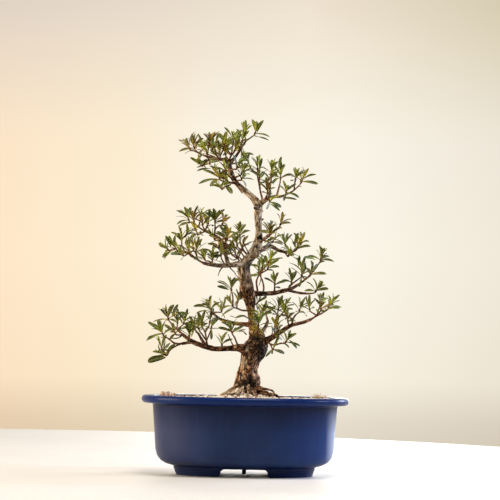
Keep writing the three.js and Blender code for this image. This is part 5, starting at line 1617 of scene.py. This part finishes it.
half_rib = add(tree, "Math", {0: rib, 1: 0.5}, operation="MULTIPLY")
ribbed = add(tree, "MixRGB", {"Fac": half_rib, "Color1": veined, "Color2": colour("#b7b464")})
sunk = add(tree, "Math", {0: vein, 1: -0.5}, operation="MULTIPLY")
pucker = add(tree, "Math", {0: sunk, 1: mottle}, operation="ADD")
skin = add(tree, "Bump", {"Height": pucker, "Strength": 0.5, "Distance": 0.0003})
gloss = add(tree, "MapRange", {"Value": mottle, "To Min": 0.3, "To Max": 0.52})
finish_material(tree, add(tree, "BsdfPrincipled", {
    "Base Color": ribbed, "Roughness": gloss, "Specular IOR Level": 0.22, "Normal": skin,
    "Subsurface Weight": 0.12, "Subsurface Radius": (0.6, 1.0, 0.2), "Subsurface Scale": 0.0006}))

twig_bark = bark_material("young azalea bark")

# A leaf's sections stand at these parts of its length. Each is a shallow channel between two raised edges,
# with the midrib standing out below: how far across, how deep in the channel, and which side of the blade.
STATIONS = np.array([0.03, 0.09, 0.18, 0.3, 0.43, 0.56, 0.68, 0.79, 0.89, 0.96])
SECTION = [(-1, 0.0, 0.0), (-0.55, -0.5, 0.5), (0, -1, 0.35), (0.55, -0.5, 0.5), (1, 0.0, 0.0),
           (0.5, -0.55, -0.5), (0, -1, -1), (-0.5, -0.55, -0.5)]
UPPER_POINTS = 5
PETIOLE = 0.13
BLADE_PEAK = 0.3618


def leaf_shape(part):
    """Half width at a part of the length, as a share of the widest: a petiole that fades into a blade."""
    blade = part ** 1.05 * (1 - part) ** 0.55
    return PETIOLE * (1 - part) + (1 - PETIOLE * 0.4) * blade / BLADE_PEAK


def leaf_body(root, tip, axis, width, form):
    """One leaf's points and faces, its places across and along for the veins, and 1 where a point is on its
    upper face. `form` holds its arch and droop, the depth of its channel, its roll, its twist and the wave
    of its edge."""
    run = tip - root
    length = np.linalg.norm(run)
    side = unit(np.cross(axis, run))
    upper = unit(np.cross(run, side))
    points, places, top = [root], [(0, 0)], [0.5]
    for part in STATIONS:
        half = width / 2 * leaf_shape(part)
        middle = root + run * part + upper * (4 * form["arch"] * length * part * (1 - part))
        middle = middle - upper * (form["droop"] * length * part ** 3)
        angle = form["roll"] + form["twist"] * (part - 0.5)
        broad = side * math.cos(angle) + upper * math.sin(angle)
        high = upper * math.cos(angle) - side * math.sin(angle)
        wave = form["wave"] * math.sin(part * 9 + form["phase"])
        thick = LEAF["thick"] * (0.6 + 0.7 * (1 - part))
        for number, (across, low, face) in enumerate(SECTION):
            rise = half * form["channel"] * (1 + low) + face * thick / 2 + wave * across * half
            points.append(middle + broad * across * half + high * rise)
            places.append((across * half, part * length))
            top.append(1 if number < UPPER_POINTS else 0)
    points.append(tip - upper * (form["droop"] * length))
    places.append((0, length))
    top.append(0.5)
    ring = len(SECTION)
    last = len(points) - 1
    faces = []
    for i in range(ring):
        j = (i + 1) % ring
        faces.append((0, 1 + j, 1 + i))
        faces.append((last, last - ring + i, last - ring + j))
        for low in range(1, last - ring, ring):
            faces.append((low + i, low + j, low + j + ring, low + i + ring))
    return np.array(points), faces, places, top


def grow_leaf(random, place, axis, age, leaf, tone):
    """One leaf's points and faces, and for each point its place for the veins and its tint. `age` is 0 for
    a young leaf and 1 for a grown one."""
    tip, width, hand = leaf
    upright = unit(tip - place) @ axis
    root = place + axis * np.clip(3 * (upright - 0.5), -1, 1)
    form = dict(arch=random.uniform(0.04, 0.12), channel=random.uniform(0.2, 0.5) * (1.3 - 0.6 * age),
                roll=math.radians(hand * LEAF["roll"] + random.uniform(-12, 12)),
                twist=random.uniform(-0.4, 0.4), wave=random.uniform(0, 0.12), phase=random.uniform(0, 6),
                droop=random.uniform(-0.02, 0.05))
    points, faces, places, top = leaf_body(root, tip, axis, width, form)
    young, old = (np.array(colour(code)[:3]) for code in TONES[tone])
    along = np.array(places)[:, 1:] / np.linalg.norm(tip - root)
    grown_share = np.clip(0.95 * age + 0.95 * (along - 0.45), 0, 1)
    tints = young * (1 - grown_share) + old * grown_share
    foot = np.clip(0.9 - 4 * along, 0, 1)
    tints = tints * (1 - foot) + np.array(colour(LEAF_FOOT)[:3]) * foot
    tints = tints * random.uniform(*LEAF_LIGHT) * random.uniform(*LEAF_CAST, 3)
    tints = tints * np.interp(place[2], SHADE["heights"], SHADE["light"])
    below = (1 - np.array(top))[:, None] * UNDERSIDE_SHARE
    tints = tints * (1 - below) + np.array(colour(UNDERSIDE)[:3]) * below
    return points, faces, places, tints


def free_tips(random, twig, tips):
    """Ends, widths and hands of leaves that a shoot holds out to some places seen from the front."""
    grown = []
    for x, z in tips:
        full = random.uniform(LEAF["shortest"], LEAF["longest"])
        seen = math.hypot(x - twig[-1][0], z - twig[-1][2])
        depth = math.sqrt(max(full ** 2 - seen ** 2, LEAF["least_depth"] ** 2))
        lean = random.choice((-1, 1))
        width = LEAF["width"] * LEAF["fine_width"] * random.uniform(0.85, 1.2)
        grown.append((np.array((x, twig[-1][1] + lean * depth, z)), width, lean))
    return grown


def ring_of_leaves(random, base, axis, count, spread, sizes, slim):
    """Ends, widths and hands of leaves in a ring round a shoot. `spread` is how far they lean from its axis
    in degrees, `slim` their width as a share of their length."""
    across = unit(np.cross(axis, (0.3, 1, 0.2)))
    over = np.cross(axis, across)
    start = random.uniform(0, 2 * math.pi)
    grown = []
    for number in range(count):
        turn = start + number * LEAF_TURN + random.uniform(-0.3, 0.3)
        lean = math.radians(random.uniform(*spread))
        way = axis * math.cos(lean) + (across * math.cos(turn) + over * math.sin(turn)) * math.sin(lean)
        length = random.uniform(*sizes)
        grown.append((base + way * length, length * random.uniform(*slim), random.choice((-1, 1))))
    return grown


def knobbly_twig(points, swell):
    """A round twig along some points with radii, thicker and thinner by turns."""
    line = centre_line(points, 6)
    line[:, 3] *= 1 + swell * noise(line[:, :3] / 2.3, 8)
    return round_bar(line, 8)


def grow_shoot(random, twig, is_first, grown, tone):
    """A shoot's twig with its bud, and all its leaves."""
    base, axis = twig[-1], shoot_axis(twig)
    thick = TWIG["main"] if is_first else TWIG["side"]
    count = len(twig) - 1
    stem = [(*point, thick + (TWIG["tip"] - thick) * i / count) for i, point in enumerate(twig[:-1])]
    stem += [(*(base - axis * BUD["below"]), TWIG["tip"]), (*base, BUD["radius"]),
             (*(base + axis * BUD["above"]), BUD["point"])]
    plan = [(base, 0.7 + 0.3 * random.random(), leaf) for leaf in grown]
    for counts, spread, sizes, slim, ages in RINGS:
        for leaf in ring_of_leaves(random, base, axis, counts[0 if is_first else 1], spread, sizes, slim):
            plan.append((base, random.uniform(*ages), leaf))
    run = base - twig[-2]
    spread, sizes, slim, ages = STEM_LEAF
    for part in random.uniform(0.35, 0.85, 2 if np.linalg.norm(run) > LONG_TWIG else 1):
        spot = base - run * (1 - part)
        for leaf in ring_of_leaves(random, spot, unit(run), 1, spread, sizes, slim):
            plan.append((spot, random.uniform(*ages), leaf))
    leaves = [grow_leaf(random, place, axis, age, leaf, tone) for place, age, leaf in plan]
    return knobbly_twig(stem, 0.12), leaves


LONE_AXIS = unit(np.array((0, -1, 0.7)))
WOOD_TINT = 0.2
draw = repeatable_stream(SEED)
random = np.random.default_rng(23)
for name, shoots in SPRAYS.items():
    corners = solid_corners("spray_" + name)
    leaves, woods = [], []
    for index, (tone, twig, tips) in enumerate(shoots):
        twig = [np.array(in_depth(point)) for point in twig]
        grown = leaf_tips(twig, tips, index, draw, corners)
        wood_body, leaves_here = grow_shoot(random, twig, index == 0, grown, tone)
        woods.append(wood_body)
        leaves += leaves_here
    for tone, twig, tips in MORE_SHOOTS.get(name, []):
        twig = [np.array(in_depth(point)) for point in twig]
        wood_body, leaves_here = grow_shoot(random, twig, False, free_tips(random, twig, tips), tone)
        woods.append(wood_body)
        leaves += leaves_here
    for tone, foot, tip, width in LONE_LEAVES.get(name, []):
        foot, tip = np.array(in_depth(foot)), np.array(in_depth(tip))
        leaf = (tip, width, random.choice((-0.4, 0.4)))
        leaves.append(grow_leaf(random, foot, LONE_AXIS, random.uniform(0.7, 1), leaf, tone))
    for points in BARE_TWIGS.get(name, []):
        woods.append(knobbly_twig([in_depth(point) for point in points], 0.15))
    leaf_points, leaf_faces = gather(leaf[:2] for leaf in leaves)
    wood_points, wood_faces = gather(woods)
    points, faces = gather([(leaf_points, leaf_faces), (wood_points, wood_faces)])
    spray = make_piece("spray_of_leaves_" + name, points, faces, leaf_skin, twig_bark)
    spray.data.polygons.foreach_set("material_index", [0] * len(leaf_faces) + [1] * len(wood_faces))
    wood_count = len(wood_points)
    tints = np.vstack([leaf[3] for leaf in leaves] + [np.full((wood_count, 3), WOOD_TINT)])
    places = [(*spot, 0) for leaf in leaves for spot in leaf[2]] + [(0, 0, 0)] * wood_count
    set_values(spray.data, "leaf_tint", "FLOAT_COLOR", np.hstack([tints, np.ones((len(tints), 1))]))
    set_values(spray.data, "leaf_place", "FLOAT_VECTOR", places)
    even_bark(spray.data, points, TWIG["girth"], [0.0] * len(points))
    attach(spray, "root")
    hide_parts("spray_" + name)
